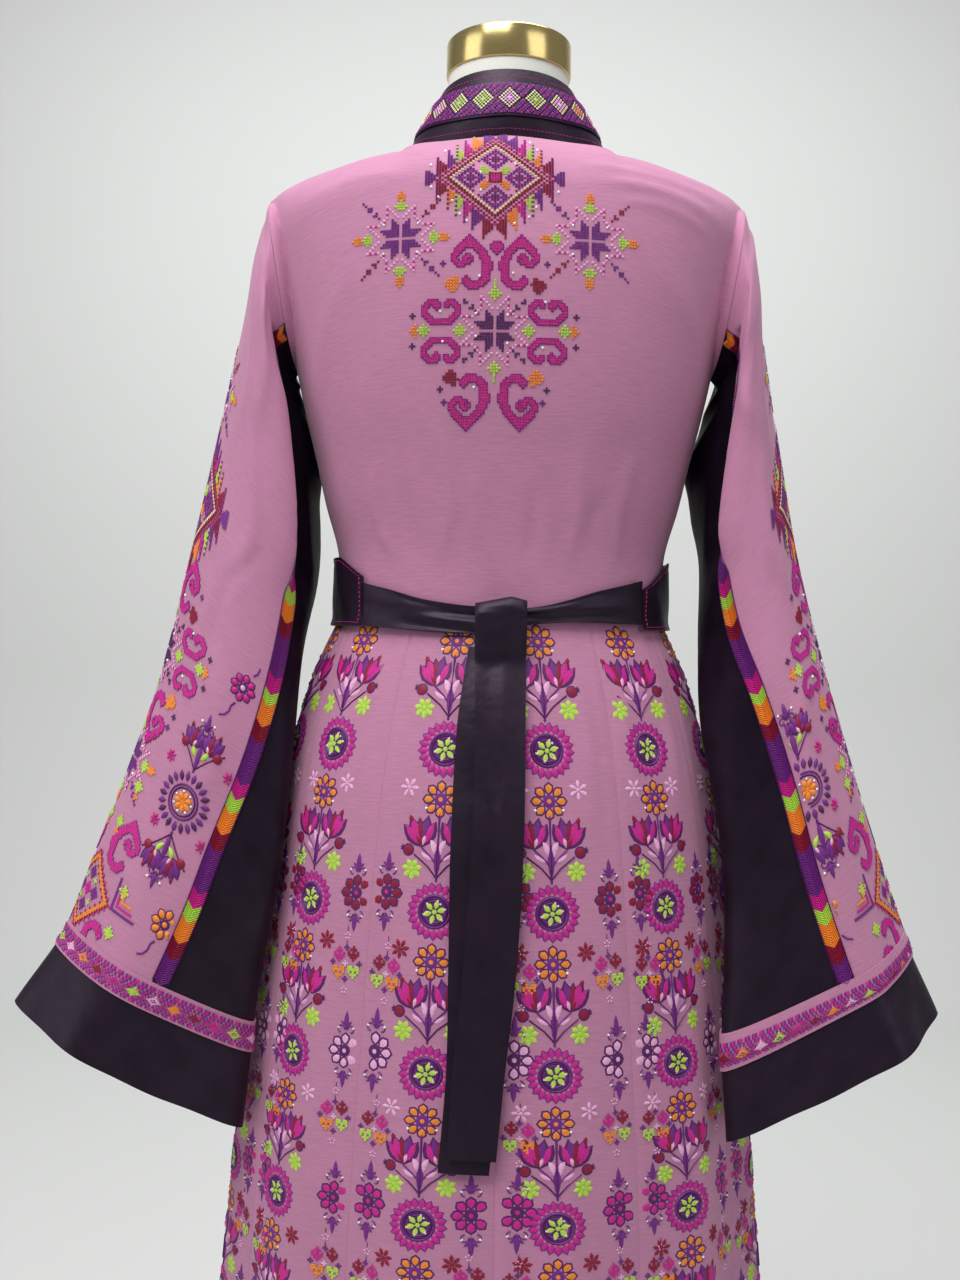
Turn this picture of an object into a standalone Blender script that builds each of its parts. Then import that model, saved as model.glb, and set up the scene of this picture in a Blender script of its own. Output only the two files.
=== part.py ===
"""Long kaftan with bell sleeves and a knotted satin belt, on a limbless dress form.

Metres, +Z up, standing on z = 0. The garment's back faces -Y, its front +Y.
"""
import math

import bmesh
import bpy
import numpy as np

for old in list(bpy.data.objects):
    bpy.data.objects.remove(old, do_unlink=True)

# ---- driving sizes, metres ----
WALL = 0.002            # cloth wall
GAP = 0.0005            # between two edges that are sewn together
WAIST_Z = 1.030         # where the bodice meets the skirt
HEM_Z = 0.030
NECK_Z = 1.4075         # collar seam
COLLAR_TOP_Z = 1.463
NECK_HALF_W = 0.085     # collar seam, half width at the shoulder
NECK_BACK = 0.065       # collar seam, depth behind the middle
RING_HALF_W = 0.0560    # collar's top edge
RING_BACK = 0.0575
V_SEAM_Z = 1.200        # lowest point of the front neckline
V_INNER_Z = 1.310       # where the collar's inner edges meet in front
SHOULDER_HALF_W = 0.1955
ROLL_H = 0.050          # height over which the shoulders round away
ARMHOLE_LOW, ARMHOLE_HIGH, ARMHOLE_HALF_D = 1.229, 1.370, 0.046
BAND_LOW, BAND_HIGH = 0.28, 0.80   # the embroidered band on the collar, as shares of its height
GORES = 12
TRIM_W = 0.012
BELT_OFF = 0.0045       # belt's outer face over the cloth
BELT_LOW, BELT_HIGH = 1.0205, 1.0750
BELT_END_LEFT, BELT_END_RIGHT = -49.5, 51.0   # degrees from centre back
CAP_R, CAP_LOW, CAP_HIGH = 0.0517, 1.4765, 1.5040
NECK_R = 0.0503
POLE_R, BASE_R, BASE_T = 0.0175, 0.170, 0.012

# Bodice by height: z, half width, depth of the back, depth of the front
BODICE = np.array([
    (1.015, 0.1335, 0.098, 0.098),
    (1.030, 0.1340, 0.098, 0.098),
    (1.080, 0.1355, 0.099, 0.102),
    (1.120, 0.1465, 0.104, 0.110),
    (1.155, 0.1545, 0.109, 0.118),
    (1.185, 0.1620, 0.114, 0.124),
    (1.240, 0.1740, 0.118, 0.128),
    (1.300, 0.1840, 0.117, 0.120),
    (1.373, 0.1955, 0.103, 0.100),
    (1.430, 0.1960, 0.088, 0.085),
])
# Skirt by height: z, half width, half depth
SKIRT = np.array([
    (1.035, 0.1338, 0.098),
    (1.030, 0.1340, 0.098),
    (1.000, 0.1460, 0.107),
    (0.974, 0.1560, 0.117),
    (0.930, 0.1690, 0.130),
    (0.890, 0.1775, 0.139),
    (0.850, 0.1840, 0.146),
    (0.800, 0.1900, 0.153),
    (0.700, 0.2010, 0.165),
    (0.607, 0.2110, 0.176),
    (0.500, 0.2190, 0.188),
    (0.400, 0.2290, 0.200),
    (0.200, 0.2510, 0.226),
    (0.020, 0.2720, 0.250),
])[::-1]
# Shoulder line: x from the middle, z
SHOULDER = np.array([
    (0.000, 1.4065), (0.050, 1.4050), (0.085, 1.4075), (0.110, 1.4035), (0.140, 1.3952),
    (0.170, 1.3862), (0.188, 1.3785), (0.1955, 1.3735), (0.230, 1.3500),
])
# Sleeve sections from armhole to cuff. o: outer fold, i: inner fold, r: back seam, b: back bulge,
# f: front bulge. fr is how far the back seam lies from o towards i. y is depth, minus is the back.
SLEEVE_LEFT = np.array([
    # ox, oz, ix, iz, fr, yo, yb, yr, yi, yf
    (-0.1973, 1.3725, -0.1803, 1.2287, 0.80, 0.000, -0.047, -0.036, 0.002, 0.046),
    (-0.2032, 1.3482, -0.1795, 1.2159, 0.76, -0.002, -0.051, -0.043, 0.010, 0.047),
    (-0.2091, 1.3210, -0.1735, 1.1982, 0.70, -0.004, -0.054, -0.047, 0.020, 0.048),
    (-0.2140, 1.2839, -0.1665, 1.1783, 0.70, -0.006, -0.056, -0.049, 0.026, 0.047),
    (-0.2202, 1.2465, -0.1575, 1.1431, 0.70, -0.010, -0.058, -0.050, 0.028, 0.045),
    (-0.2298, 1.1933, -0.1530, 1.0975, 0.76, -0.016, -0.062, -0.052, 0.024, 0.042),
    (-0.2420, 1.1273, -0.1530, 1.0544, 0.85, -0.024, -0.068, -0.058, 0.008, 0.038),
    (-0.2559, 1.0548, -0.1600, 0.9953, 0.88, -0.034, -0.076, -0.072, -0.030, 0.028),
    (-0.2734, 0.9723, -0.1620, 0.9139, 0.77, -0.044, -0.084, -0.088, -0.066, 0.012),
    (-0.2962, 0.8983, -0.1675, 0.8297, 0.645, -0.054, -0.092, -0.099, -0.084, -0.002),
    (-0.3154, 0.8427, -0.1777, 0.7707, 0.605, -0.062, -0.100, -0.107, -0.083, -0.010),
    (-0.3350, 0.7840, -0.1868, 0.7094, 0.54, -0.070, -0.108, -0.115, -0.084, -0.016),
    (-0.3436, 0.7691, -0.1877, 0.6898, 0.52, -0.072, -0.110, -0.117, -0.086, -0.017),
    (-0.3718, 0.7248, -0.1937, 0.6332, 0.52, -0.078, -0.118, -0.124, -0.090, -0.020),
])
SLEEVE_RIGHT = np.array([
    # ox, oz, ix, iz, fr, yo, yb, yr, yi, yf
    (0.1973, 1.3715, 0.1803, 1.2300, 0.80, 0.000, -0.047, -0.036, 0.002, 0.046),
    (0.2045, 1.3505, 0.1795, 1.2180, 0.76, -0.002, -0.051, -0.043, 0.010, 0.047),
    (0.2070, 1.3275, 0.1765, 1.2037, 0.66, -0.004, -0.054, -0.047, 0.020, 0.048),
    (0.2086, 1.3038, 0.1720, 1.1836, 0.56, -0.006, -0.056, -0.050, 0.026, 0.047),
    (0.2118, 1.2615, 0.1590, 1.1515, 0.48, -0.010, -0.058, -0.052, 0.028, 0.045),
    (0.2178, 1.2176, 0.1605, 1.1152, 0.64, -0.016, -0.062, -0.054, 0.024, 0.042),
    (0.2270, 1.1559, 0.1655, 1.0755, 0.86, -0.024, -0.068, -0.060, 0.008, 0.038),
    (0.2381, 1.0820, 0.1610, 1.0127, 0.76, -0.034, -0.076, -0.073, -0.024, 0.028),
    (0.2529, 1.0142, 0.1583, 0.9459, 0.59, -0.044, -0.086, -0.090, -0.060, 0.012),
    (0.2724, 0.9366, 0.1690, 0.8751, 0.525, -0.054, -0.096, -0.103, -0.082, -0.002),
    (0.2903, 0.8727, 0.1740, 0.8038, 0.48, -0.062, -0.106, -0.114, -0.092, -0.010),
    (0.3189, 0.7849, 0.1700, 0.7111, 0.39, -0.070, -0.116, -0.128, -0.112, -0.018),
    (0.3232, 0.7721, 0.1704, 0.6887, 0.39, -0.072, -0.118, -0.130, -0.114, -0.019),
    (0.3411, 0.7263, 0.1727, 0.6381, 0.39, -0.078, -0.126, -0.138, -0.120, -0.022),
])
# How far the front seam lies from o towards i, row by row
FRONT_SEAM_LEFT = (0.72, 0.72, 0.68, 0.60, 0.64, 0.70, 0.72, 0.72, 0.70, 0.605, 0.567, 0.52, 0.52, 0.52)
FRONT_SEAM_RIGHT = (0.72, 0.72, 0.68, 0.56, 0.45, 0.48, 0.66, 0.60, 0.50, 0.51, 0.48, 0.45, 0.45, 0.45)
BAND_ROW, CUFF_ROW, END_ROW = 11.0, 12.0, 13.0   # rows where band, cuff and sleeve end
CUFF_FAR_DROP = 0.008   # the cuff's front side hangs this much lower
# Belt ties: degrees from centre back, lower edge, upper edge
TIE_LEFT = np.array([
    (-49.0, 1.0205, 1.0535), (-36.0, 1.0190, 1.0480), (-22.0, 1.0172, 1.0400), (-12.8, 1.0160, 1.0370), (-6.9, 1.0156, 1.0358),
])
TIE_RIGHT = np.array([
    (6.3, 1.0222, 1.0352), (11.6, 1.0236, 1.0372), (18.0, 1.0248, 1.0410), (28.0, 1.0252, 1.0480), (40.0, 1.0246, 1.0540), (50.5, 1.0243, 1.0585),
])
# Belt tails by height: z, middle x, width
TAIL_FRONT = np.array([
    (0.643, -0.0170, 0.0350), (0.700, -0.0130, 0.0375), (0.760, -0.0070, 0.0385), (0.870, -0.0010, 0.0375),
    (0.960, -0.0005, 0.0375), (1.0065, -0.0010, 0.0385),
])
TAIL_BACK = np.array([
    (0.632, -0.0225, 0.0365), (0.700, -0.0170, 0.0380), (0.760, -0.0165, 0.0385), (0.870, -0.0165, 0.0380),
    (0.960, -0.0130, 0.0365), (1.0055, -0.0080, 0.0340),
])
TAIL_FRONT_OFF, TAIL_BACK_OFF = 0.0100, 0.0050
KNOT_C, KNOT_R = (-0.0014, -0.1160, 1.0265), (0.0205, 0.0130, 0.0185)
# Form's torso and neck: z, half width, half depth
TORSO = np.array([
    (0.800, 0.110, 0.080), (0.806, 0.132, 0.098), (0.830, 0.150, 0.112), (0.870, 0.152, 0.115), (0.930, 0.146, 0.109),
    (0.985, 0.130, 0.096), (1.030, 0.120, 0.086), (1.080, 0.122, 0.087), (1.150, 0.138, 0.095), (1.220, 0.150, 0.104),
    (1.285, 0.158, 0.103), (1.330, 0.156, 0.090), (1.362, 0.136, 0.074), (1.384, 0.104, 0.062), (1.398, 0.074, 0.054),
    (1.412, 0.056, 0.0515), (1.430, NECK_R, NECK_R), (1.455, NECK_R, NECK_R), (1.4762, NECK_R, NECK_R),
])


# ---- curves and surfaces ----
def cubic(table, x, column):
    """Smooth value of a table's column at x, by Catmull-Rom tangents on uneven steps."""
    xs, ys = table[:, 0], table[:, column]
    slope = np.gradient(ys, xs)
    x = np.clip(np.asarray(x, float), xs[0], xs[-1])
    k = np.clip(np.searchsorted(xs, x) - 1, 0, len(xs) - 2)
    h = xs[k + 1] - xs[k]
    t = (x - xs[k]) / h
    return ((2 * t**3 - 3 * t**2 + 1) * ys[k] + (t**3 - 2 * t**2 + t) * h * slope[k]
            + (3 * t**2 - 2 * t**3) * ys[k + 1] + (t**3 - t**2) * h * slope[k + 1])


def smooth(t):
    t = np.clip(t, 0, 1)
    return t * t * (3 - 2 * t)


def bodice_depth(x, z, front):
    """Depth of the bodice surface from the middle plane at a point of its outline."""
    half = cubic(BODICE, z, 1)
    depth = cubic(BODICE, z, 3 if front else 2)
    s = np.clip(np.abs(x) / half, 0, 1)
    top = cubic(SHOULDER, np.abs(x), 1)
    under = np.clip((top - z) / ROLL_H, 0, 1)
    roll = np.sqrt(np.clip(1 - (1 - under) ** 2, 0, 1))
    neck = 0.0 if front else NECK_BACK * np.sqrt(np.clip(1 - (x / NECK_HALF_W) ** 2, 0, 1))
    side = np.sqrt(np.clip(1 - s**2.4, 0, 1))
    hole = ARMHOLE_HALF_D * np.sqrt(np.clip(1 - ((2 * z - ARMHOLE_LOW - ARMHOLE_HIGH) / (ARMHOLE_HIGH - ARMHOLE_LOW)) ** 2, 0, 1))
    body = neck + (depth * side - neck) * roll
    return np.maximum(body, hole * smooth(s**6)) + 0.0004


def neckline(x):
    """Height of the front neckline."""
    return V_SEAM_Z + (1.4075 - V_SEAM_Z) * np.clip(np.abs(x) / NECK_HALF_W, 0, 1) ** 0.9


def bodice(q, v, front):
    """Bodice panel: q -1..1 across, v 0..1 from the waist up."""
    s = np.sin(q * math.pi / 2)
    across = s * SHOULDER_HALF_W
    top = cubic(SHOULDER, np.abs(across), 1)
    if front:
        top = np.where(np.abs(across) < NECK_HALF_W, neckline(across), top)
    z = WAIST_Z + (top - WAIST_Z) * v
    x = s * cubic(BODICE, z, 1)
    y = bodice_depth(x, z, front)
    return np.stack([x - 0.0004 * np.sign(x), y if front else -y, z + 0.0005 - 0.0009 * v], -1)


def places(columns):
    """Panel places q of columns that are given as shares of the shoulder's half width."""
    return np.arcsin(np.array(columns)) * 2 / math.pi


BACK_COLUMNS = [0, 0.15, 0.28, 0.37, 0.42, 0.4348, 0.50, 0.62, 0.76, 0.87, 0.95, 0.985, 1]
FRONT_COLUMNS = [0.006, 0.10, 0.19, 0.28, 0.35, 0.40, 0.4348, 0.52, 0.66, 0.80, 0.91, 0.975, 1]
UP = np.array([0, 0.10, 0.20, 0.31, 0.43, 0.55, 0.67, 0.77, 0.86, 0.925, 0.965, 0.99, 1])


def skirt_radii(z):
    return cubic(SKIRT, z, 1), cubic(SKIRT, z, 2)


def skirt(theta, z, out=0.0):
    """Skirt point: theta in radians from centre back, soft flutes between the seams."""
    a, b = skirt_radii(z)
    flute = 1 - 0.020 * smooth((1.0 - z) / 0.9) * np.cos(GORES * theta)
    return np.stack([(a * flute + out) * np.sin(theta), -(b * flute + out) * np.cos(theta), z + 0 * theta], -1)


def waist(theta, z, out):
    """Point over the cloth near the waist, bodice above the seam and skirt below it."""
    above = z > WAIST_Z
    a = np.where(above, cubic(BODICE, z, 1), cubic(SKIRT, z, 1))
    b = np.where(above, np.where(np.cos(theta) > 0, cubic(BODICE, z, 2), cubic(BODICE, z, 3)), cubic(SKIRT, z, 2))
    n = 2.4  # the bodice's rounder side reaches further than an ellipse
    x = a * np.sign(np.sin(theta)) * np.abs(np.sin(theta)) ** (2 / n)
    y = -b * np.cos(theta)
    d = np.stack([np.sin(theta) / a, -np.cos(theta) / b, 0 * theta], -1)
    d = d / np.linalg.norm(d, axis=-1, keepdims=True)
    return np.stack([x, y, z + 0 * theta], -1) + d * out


def tail(x, z, out):
    a, b = skirt_radii(z)
    return np.stack([x, -(b * np.sqrt(np.clip(1 - (x / a) ** 2, 0, 1)) * 1.004 + out), z], -1)


def around(knots, per):
    """Closed smooth curve through knots[..., k, 3]."""
    n = knots.shape[-2]
    out = []
    for k in range(n):
        p0, p1, p2, p3 = (knots[..., (k + j) % n, :] for j in (-1, 0, 1, 2))
        for j in range(per):
            t = j / per
            out.append(0.5 * (2 * p1 + (p2 - p0) * t + (2 * p0 - 5 * p1 + 4 * p2 - p3) * t**2 + (3 * p1 - p0 - 3 * p2 + p3) * t**3))
    return np.stack(out, -2)


PER = 16


def sleeve_tube(rows, steps):
    """Points and outward normals of the whole sleeve: rows down it, 96 round it.
    Round it: 0 outer fold, 32 back seam, 48 inner fold, 64 front seam."""
    index = np.arange(len(rows))
    table = np.column_stack([index, rows])
    t = np.linspace(0, len(rows) - 1, steps)
    c = [cubic(table, t, k + 1) for k in range(rows.shape[1])]
    ox, oz, ix, iz, fr, yo, yb, yr, yi, yf = c
    drop = CUFF_FAR_DROP * smooth((t - BAND_ROW) / 2)
    ff = cubic(np.column_stack([index, FRONT_SEAM_LEFT if rows[0, 0] < 0 else FRONT_SEAM_RIGHT]), t, 1)

    def at(f, y, fall):
        return np.stack([ox + (ix - ox) * f, y, oz + (iz - oz) * f - fall], -1)

    knots = np.stack([
        at(0 * t, yo, 0), at(0.45 * fr, yb, 0), at(fr, yr, 0),
        at(0 * t + 1, yi, 0), at(ff, yf, drop), at(0.22 + 0 * t, yf * 0.75 + yo * 0.25, drop),
    ], -2)
    p = around(knots, PER)
    side = np.sign(rows[0, 0])
    near = smooth(1 - t)[:, None]
    p[..., 0] = p[..., 0] * (1 - near) + near * side * (np.minimum(cubic(BODICE, p[..., 2], 1), 0.1955) + 0.0030)
    ds = np.roll(p, -1, 1) - np.roll(p, 1, 1)
    dt = np.gradient(p, axis=0)
    n = np.cross(ds, dt)
    n /= np.linalg.norm(n, axis=-1, keepdims=True)
    if (n * (p - p.mean(1, keepdims=True))).sum() < 0:
        n = -n
    return t, p, n


def on_tube(tube, t, s, what):
    """Bilinear look-up of points (1) or normals (2) at row t and place s round the sleeve."""
    rows, data = tube[0], tube[what]
    row = np.interp(t, rows, np.arange(len(rows)))
    r0 = np.clip(np.floor(row).astype(int), 0, len(rows) - 2)
    fr = (row - r0)[..., None]
    s0 = np.floor(s).astype(int)
    fs = (s - s0)[..., None]
    m = data.shape[1]
    a = data[r0, s0 % m] * (1 - fs) + data[r0, (s0 + 1) % m] * fs
    b = data[r0 + 1, s0 % m] * (1 - fs) + data[r0 + 1, (s0 + 1) % m] * fs
    return a * (1 - fr) + b * fr


def seam_place(tube, t, centre, shift):
    """Place round the sleeve that lies shift metres past a seam, at row t."""
    row = int(round(np.interp(t, tube[0], np.arange(len(tube[0])))))
    loop = tube[1][row]
    step = np.linalg.norm(np.roll(loop, -1, 0) - loop, axis=1)
    arc = np.concatenate([[0], np.cumsum(np.tile(step, 2))])
    base = centre + len(loop) // 2 * 0
    places = np.arange(len(arc))
    return float(np.interp(np.interp(base + 96 * (centre < 48), places, arc) + shift, arc, places)) - 96 * (centre < 48)


# ---- solids ----
def material(name, colour, roughness, metallic=0.0):
    found = bpy.data.materials.get(name)
    if found:
        return found
    made = bpy.data.materials.new(name)
    made.use_nodes = True
    shader = made.node_tree.nodes["Principled BSDF"]
    shader.inputs["Base Color"].default_value = (*colour, 1)
    shader.inputs["Roughness"].default_value = roughness
    shader.inputs["Metallic"].default_value = metallic
    return made


MAUVE = ("mauve_crepe", (0.45, 0.19, 0.33), 0.85)
SATIN = ("plum_satin", (0.022, 0.012, 0.035), 0.35)
RIBBON = ("ribbon", (0.55, 0.05, 0.25), 0.6)
EMBROIDERED = ("embroidered_band", (0.30, 0.05, 0.30), 0.75)
JERSEY = ("form_cover", (0.88, 0.87, 0.80), 0.8)
BRASS = ("polished_brass", (0.80, 0.60, 0.25), 0.15, 1.0)
STEEL = ("painted_steel", (0.82, 0.81, 0.77), 0.4)


def add_object(name, verts, faces, look):
    mesh = bpy.data.meshes.new(name)
    mesh.from_pydata([tuple(map(float, v)) for v in verts], [], faces)
    bm = bmesh.new()
    bm.from_mesh(mesh)
    bmesh.ops.recalc_face_normals(bm, faces=bm.faces)
    bm.to_mesh(mesh)
    bm.free()
    mesh.shade_smooth()
    mesh.set_sharp_from_angle(angle=math.radians(50))
    mesh.materials.append(material(*look))
    obj = bpy.data.objects.new(name, mesh)
    bpy.context.collection.objects.link(obj)
    return obj


def grid_normals(p, outward):
    n = np.cross(np.gradient(p, axis=0), np.gradient(p, axis=1))
    n /= np.maximum(np.linalg.norm(n, axis=-1, keepdims=True), 1e-12)
    return n if (n * outward).sum() > 0 else -n


def wall(name, p, n, look, thick=WALL, ring=False, side=0):
    """A cloth wall: grid p[i, j] is its outer face, n its outward normals. ring closes it along i.
    side keeps the inner face behind (-1) or before (1) the middle plane."""
    ni, nj = p.shape[:2]
    inner = p - n * thick
    if side:
        inner[..., 1] = side * np.maximum(side * inner[..., 1], 0.0003)
    verts = np.concatenate([p.reshape(-1, 3), inner.reshape(-1, 3)])
    half = ni * nj

    def v(i, j, layer):
        return layer * half + (i % ni) * nj + j

    faces = []
    last = ni if ring else ni - 1
    for i in range(last):
        for j in range(nj - 1):
            faces.append((v(i, j, 0), v(i + 1, j, 0), v(i + 1, j + 1, 0), v(i, j + 1, 0)))
            faces.append((v(i, j, 1), v(i, j + 1, 1), v(i + 1, j + 1, 1), v(i + 1, j, 1)))
        for j in (0, nj - 1):
            faces.append((v(i, j, 0), v(i, j, 1), v(i + 1, j, 1), v(i + 1, j, 0)))
    if not ring:
        for i in (0, ni - 1):
            for j in range(nj - 1):
                faces.append((v(i, j, 0), v(i, j + 1, 0), v(i, j + 1, 1), v(i, j, 1)))
    return add_object(name, verts, faces, look)


def turned(name, profile, look, sides=48):
    """A solid of revolution or of stacked ellipses: profile rows are z, half width, half depth."""
    angle = np.arange(sides) * 2 * math.pi / sides
    rings = [np.stack([a * np.cos(angle), b * np.sin(angle), z + 0 * angle], -1) for z, a, b in profile]
    verts = np.concatenate(rings)
    faces = [tuple(range(sides)), tuple(range(len(verts) - sides, len(verts)))]
    for r in range(len(rings) - 1):
        for k in range(sides):
            k2 = (k + 1) % sides
            faces.append((r * sides + k, r * sides + k2, (r + 1) * sides + k2, (r + 1) * sides + k))
    return add_object(name, verts, faces, look)


def grid(us, vs):
    return np.meshgrid(us, vs, indexing="ij")


# form
turned("form_torso", TORSO, JERSEY, 40)
turned("form_neck_cap", [(CAP_LOW, CAP_R - 0.001, CAP_R - 0.001), (CAP_LOW + 0.001, CAP_R, CAP_R),
                         (CAP_HIGH - 0.0015, CAP_R, CAP_R), (CAP_HIGH, CAP_R - 0.0015, CAP_R - 0.0015)], BRASS, 64)
turned("form_pole", [(0.0505, POLE_R, POLE_R), (0.7995, POLE_R, POLE_R)], STEEL, 24)
turned("form_flange", [(BASE_T + 0.0005, 0.0265, 0.0265), (0.020, 0.0260, 0.0260), (0.024, 0.0235, 0.0235), (0.050, 0.0225, 0.0225)], STEEL, 32)
turned("form_base", [(0.0, BASE_R - 0.002, BASE_R - 0.002), (0.002, BASE_R, BASE_R), (BASE_T - 0.002, BASE_R, BASE_R), (BASE_T, BASE_R - 0.002, BASE_R - 0.002)], STEEL, 48)

# bodice
half_q = places(BACK_COLUMNS)
q, v = grid(np.concatenate([-half_q[:0:-1], half_q]), UP)
p = bodice(q, v, False)
wall("bodice_back", p, grid_normals(p, np.array([0, -1, 0])), MAUVE, side=-1)
for sign, side in ((-1, "left"), (1, "right")):
    q, v = grid(places(FRONT_COLUMNS) * sign, UP)
    p = bodice(q, v, True)
    wall("bodice_front_" + side, p, grid_normals(p, np.array([0, 1, 0])), MAUVE, side=1)


# collar: w -1..1 from one front end round the back of the neck to the other, h 0..1 from its seam to its free edge
def collar(w, h, out=0.0):
    back = np.abs(w) < 0.4
    theta = np.clip(w / 0.4, -1, 1) * math.pi / 2
    f = np.clip((np.abs(w) - 0.4) / 0.6, 0, 1)
    sign = np.sign(w)
    seam_b = np.stack([NECK_HALF_W * np.sin(theta), -NECK_BACK * np.cos(theta) - 0.0006, cubic(SHOULDER, NECK_HALF_W * np.abs(np.sin(theta)), 1) + 0.0016], -1)
    ring_b = np.stack([RING_HALF_W * np.sin(theta), -RING_BACK * np.cos(theta), COLLAR_TOP_Z - 0.004 * np.abs(np.sin(theta)) ** 3], -1)
    x = NECK_HALF_W * (1 - f) + 0.0012 * f
    z = neckline(x)
    seam_f = np.stack([sign * (x - 0.001 * (1 - f)), bodice_depth(x * 0.985, z, True) + 0.0034 * smooth(f / 0.2), z + 0.0016], -1)
    x1 = RING_HALF_W * (1 - f) + 0.0012 * f
    z1 = COLLAR_TOP_Z - 0.004 - (COLLAR_TOP_Z - 0.004 - V_INNER_Z) * f
    ring_f = np.stack([sign * x1, (bodice_depth(x1, np.minimum(z1, 1.36), True) + 0.0045) * smooth(f / 0.5 + 0.02 * (f > 0)), z1], -1)
    seam = np.where(back[..., None], seam_b, seam_f)
    ring = np.where(back[..., None], ring_b, ring_f)
    p = seam + (ring - seam) * h[..., None]
    lift = 0.004 * np.sin(math.pi * h)
    p[..., 1] -= lift * np.where(back, np.cos(theta), 0)
    p[..., 2] -= 0.3 * lift
    return p


half_w = np.concatenate([np.linspace(0, 0.4, 9), np.linspace(0.4, 1, 9)[1:]])
ws = np.concatenate([-half_w[:0:-1], half_w])
w, h = grid(ws, [0, BAND_LOW, (BAND_LOW + BAND_HIGH) / 2, BAND_HIGH, 1])
p = collar(w, h)
n = grid_normals(p, p * [1, 1, 0] + [0, 0, 0.12])
wall("collar", p, n, SATIN)
wall("collar_band", (p + n * 0.0016)[:, 1:4], n[:, 1:4], EMBROIDERED, thick=0.0012)

# sleeves
for rows, side in ((SLEEVE_LEFT, "left"), (SLEEVE_RIGHT, "right")):
    tube = sleeve_tube(rows, 53)
    end = BAND_ROW - 0.01
    edge = TRIM_W / 2

    def strip(name, lo, hi, t0, t1, nt, ns, look, reach=None):
        t = np.linspace(t0, t1, nt)
        s = np.array([np.linspace(lo(a), hi(a), ns) for a in t])
        tt = np.repeat(t[:, None], ns, 1)
        wall(name, on_tube(tube, tt, s, 1), on_tube(tube, tt, s, 2), look)

    strip("sleeve_outer_" + side, lambda a: seam_place(tube, a, 64, edge + GAP) - 96, lambda a: seam_place(tube, a, 32, -edge - GAP), 0, end, 13, 11, MAUVE)
    strip("sleeve_under_" + side, lambda a: seam_place(tube, a, 32, edge + GAP), lambda a: seam_place(tube, a, 64, -edge - GAP), 0, end, 13, 6, SATIN)
    strip("trim_back_" + side, lambda a: seam_place(tube, a, 32, -edge), lambda a: seam_place(tube, a, 32, edge), 0, end, 13, 2, RIBBON)
    strip("trim_front_" + side, lambda a: seam_place(tube, a, 64, -edge), lambda a: seam_place(tube, a, 64, edge), 0, end, 13, 2, RIBBON)
    for name, t0, t1, nt, look in (("cuff_band_", BAND_ROW + 0.01, CUFF_ROW - 0.01, 2, EMBROIDERED), ("cuff_", CUFF_ROW + 0.01, END_ROW, 3, SATIN)):
        tt, s = grid(np.linspace(t0, t1, nt), np.arange(0, 96, 4.0))
        p, n = on_tube(tube, tt, s, 1), on_tube(tube, tt, s, 2)
        wall(name + side, p.transpose(1, 0, 2), n.transpose(1, 0, 2), look, ring=True)

# skirt gores, from the centre back seam round each side
for g in range(GORES):
    t0, t1 = (g - GORES / 2) * 2 * math.pi / GORES, (g + 1 - GORES / 2) * 2 * math.pi / GORES
    z = WAIST_Z - 0.0005 - (WAIST_Z - 0.0005 - HEM_Z) * np.linspace(0, 1, 12) ** 1.25
    k, zz = grid(np.linspace(0, 1, 5), z)
    cut = GAP / 2 / skirt_radii(zz)[1]
    theta = t0 + cut + (t1 - t0 - 2 * cut) * k
    p = skirt(theta, zz)
    n = grid_normals(p, p * [1, 1, 0])
    middle = math.degrees((t0 + t1) / 2)
    where = "back" if abs(middle) < 90 else "front"
    order = int(abs(middle) // 30) + 1
    wall("gore_%s_%d_%s" % (where, order, "left" if middle < 0 else "right"), p, n, MAUVE)

# belt
theta, z = grid(np.radians(np.linspace(BELT_END_RIGHT, 360 + BELT_END_LEFT, 29)), [BELT_LOW, WAIST_Z + 0.001, BELT_HIGH])
p = waist(theta, z, BELT_OFF)
wall("belt_front", p, grid_normals(p, p * [1, 1, 0]), SATIN)
for side, table in (("left", TIE_LEFT), ("right", TIE_RIGHT)):
    a = np.linspace(table[0, 0], table[-1, 0], 9)
    aa, h = grid(a, np.linspace(0, 1, 3))
    z = cubic(table, aa, 1) * (1 - h) + cubic(table, aa, 2) * h
    p = waist(np.radians(aa), z, BELT_OFF)
    wall("belt_tie_" + side, p, grid_normals(p, p * [1, 1, 0]), SATIN)

# knot: a soft block of folded satin
lat, lon = grid(np.linspace(-math.pi / 2, math.pi / 2, 9), np.arange(16) * math.pi / 8)


def power(a, e):
    return np.sign(a) * np.abs(a) ** e


verts, faces = [], []
for i in range(1, 8):
    for j in range(16):
        verts.append((KNOT_C[0] + KNOT_R[0] * power(math.cos(lat[i, j]), 0.6) * power(math.cos(lon[i, j]), 0.6),
                      KNOT_C[1] + KNOT_R[1] * power(math.cos(lat[i, j]), 0.6) * power(math.sin(lon[i, j]), 0.8),
                      KNOT_C[2] + KNOT_R[2] * power(math.sin(lat[i, j]), 0.7)))
for i in range(6):
    for j in range(16):
        j2 = (j + 1) % 16
        faces.append((i * 16 + j, i * 16 + j2, (i + 1) * 16 + j2, (i + 1) * 16 + j))
faces += [tuple(range(16)), tuple(range(96, 112))]
add_object("belt_knot", verts, faces, SATIN)

for name, table, out in (("belt_tail_front", TAIL_FRONT, TAIL_FRONT_OFF), ("belt_tail_back", TAIL_BACK, TAIL_BACK_OFF)):
    k, z = grid(np.linspace(-0.5, 0.5, 4), np.linspace(table[0, 0], table[-1, 0], 13))
    x = cubic(table, z, 1) + cubic(table, z, 2) * k
    p = tail(x, z, out)
    wall(name, p, grid_normals(p, np.array([0, -1, 0])), SATIN)
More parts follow.
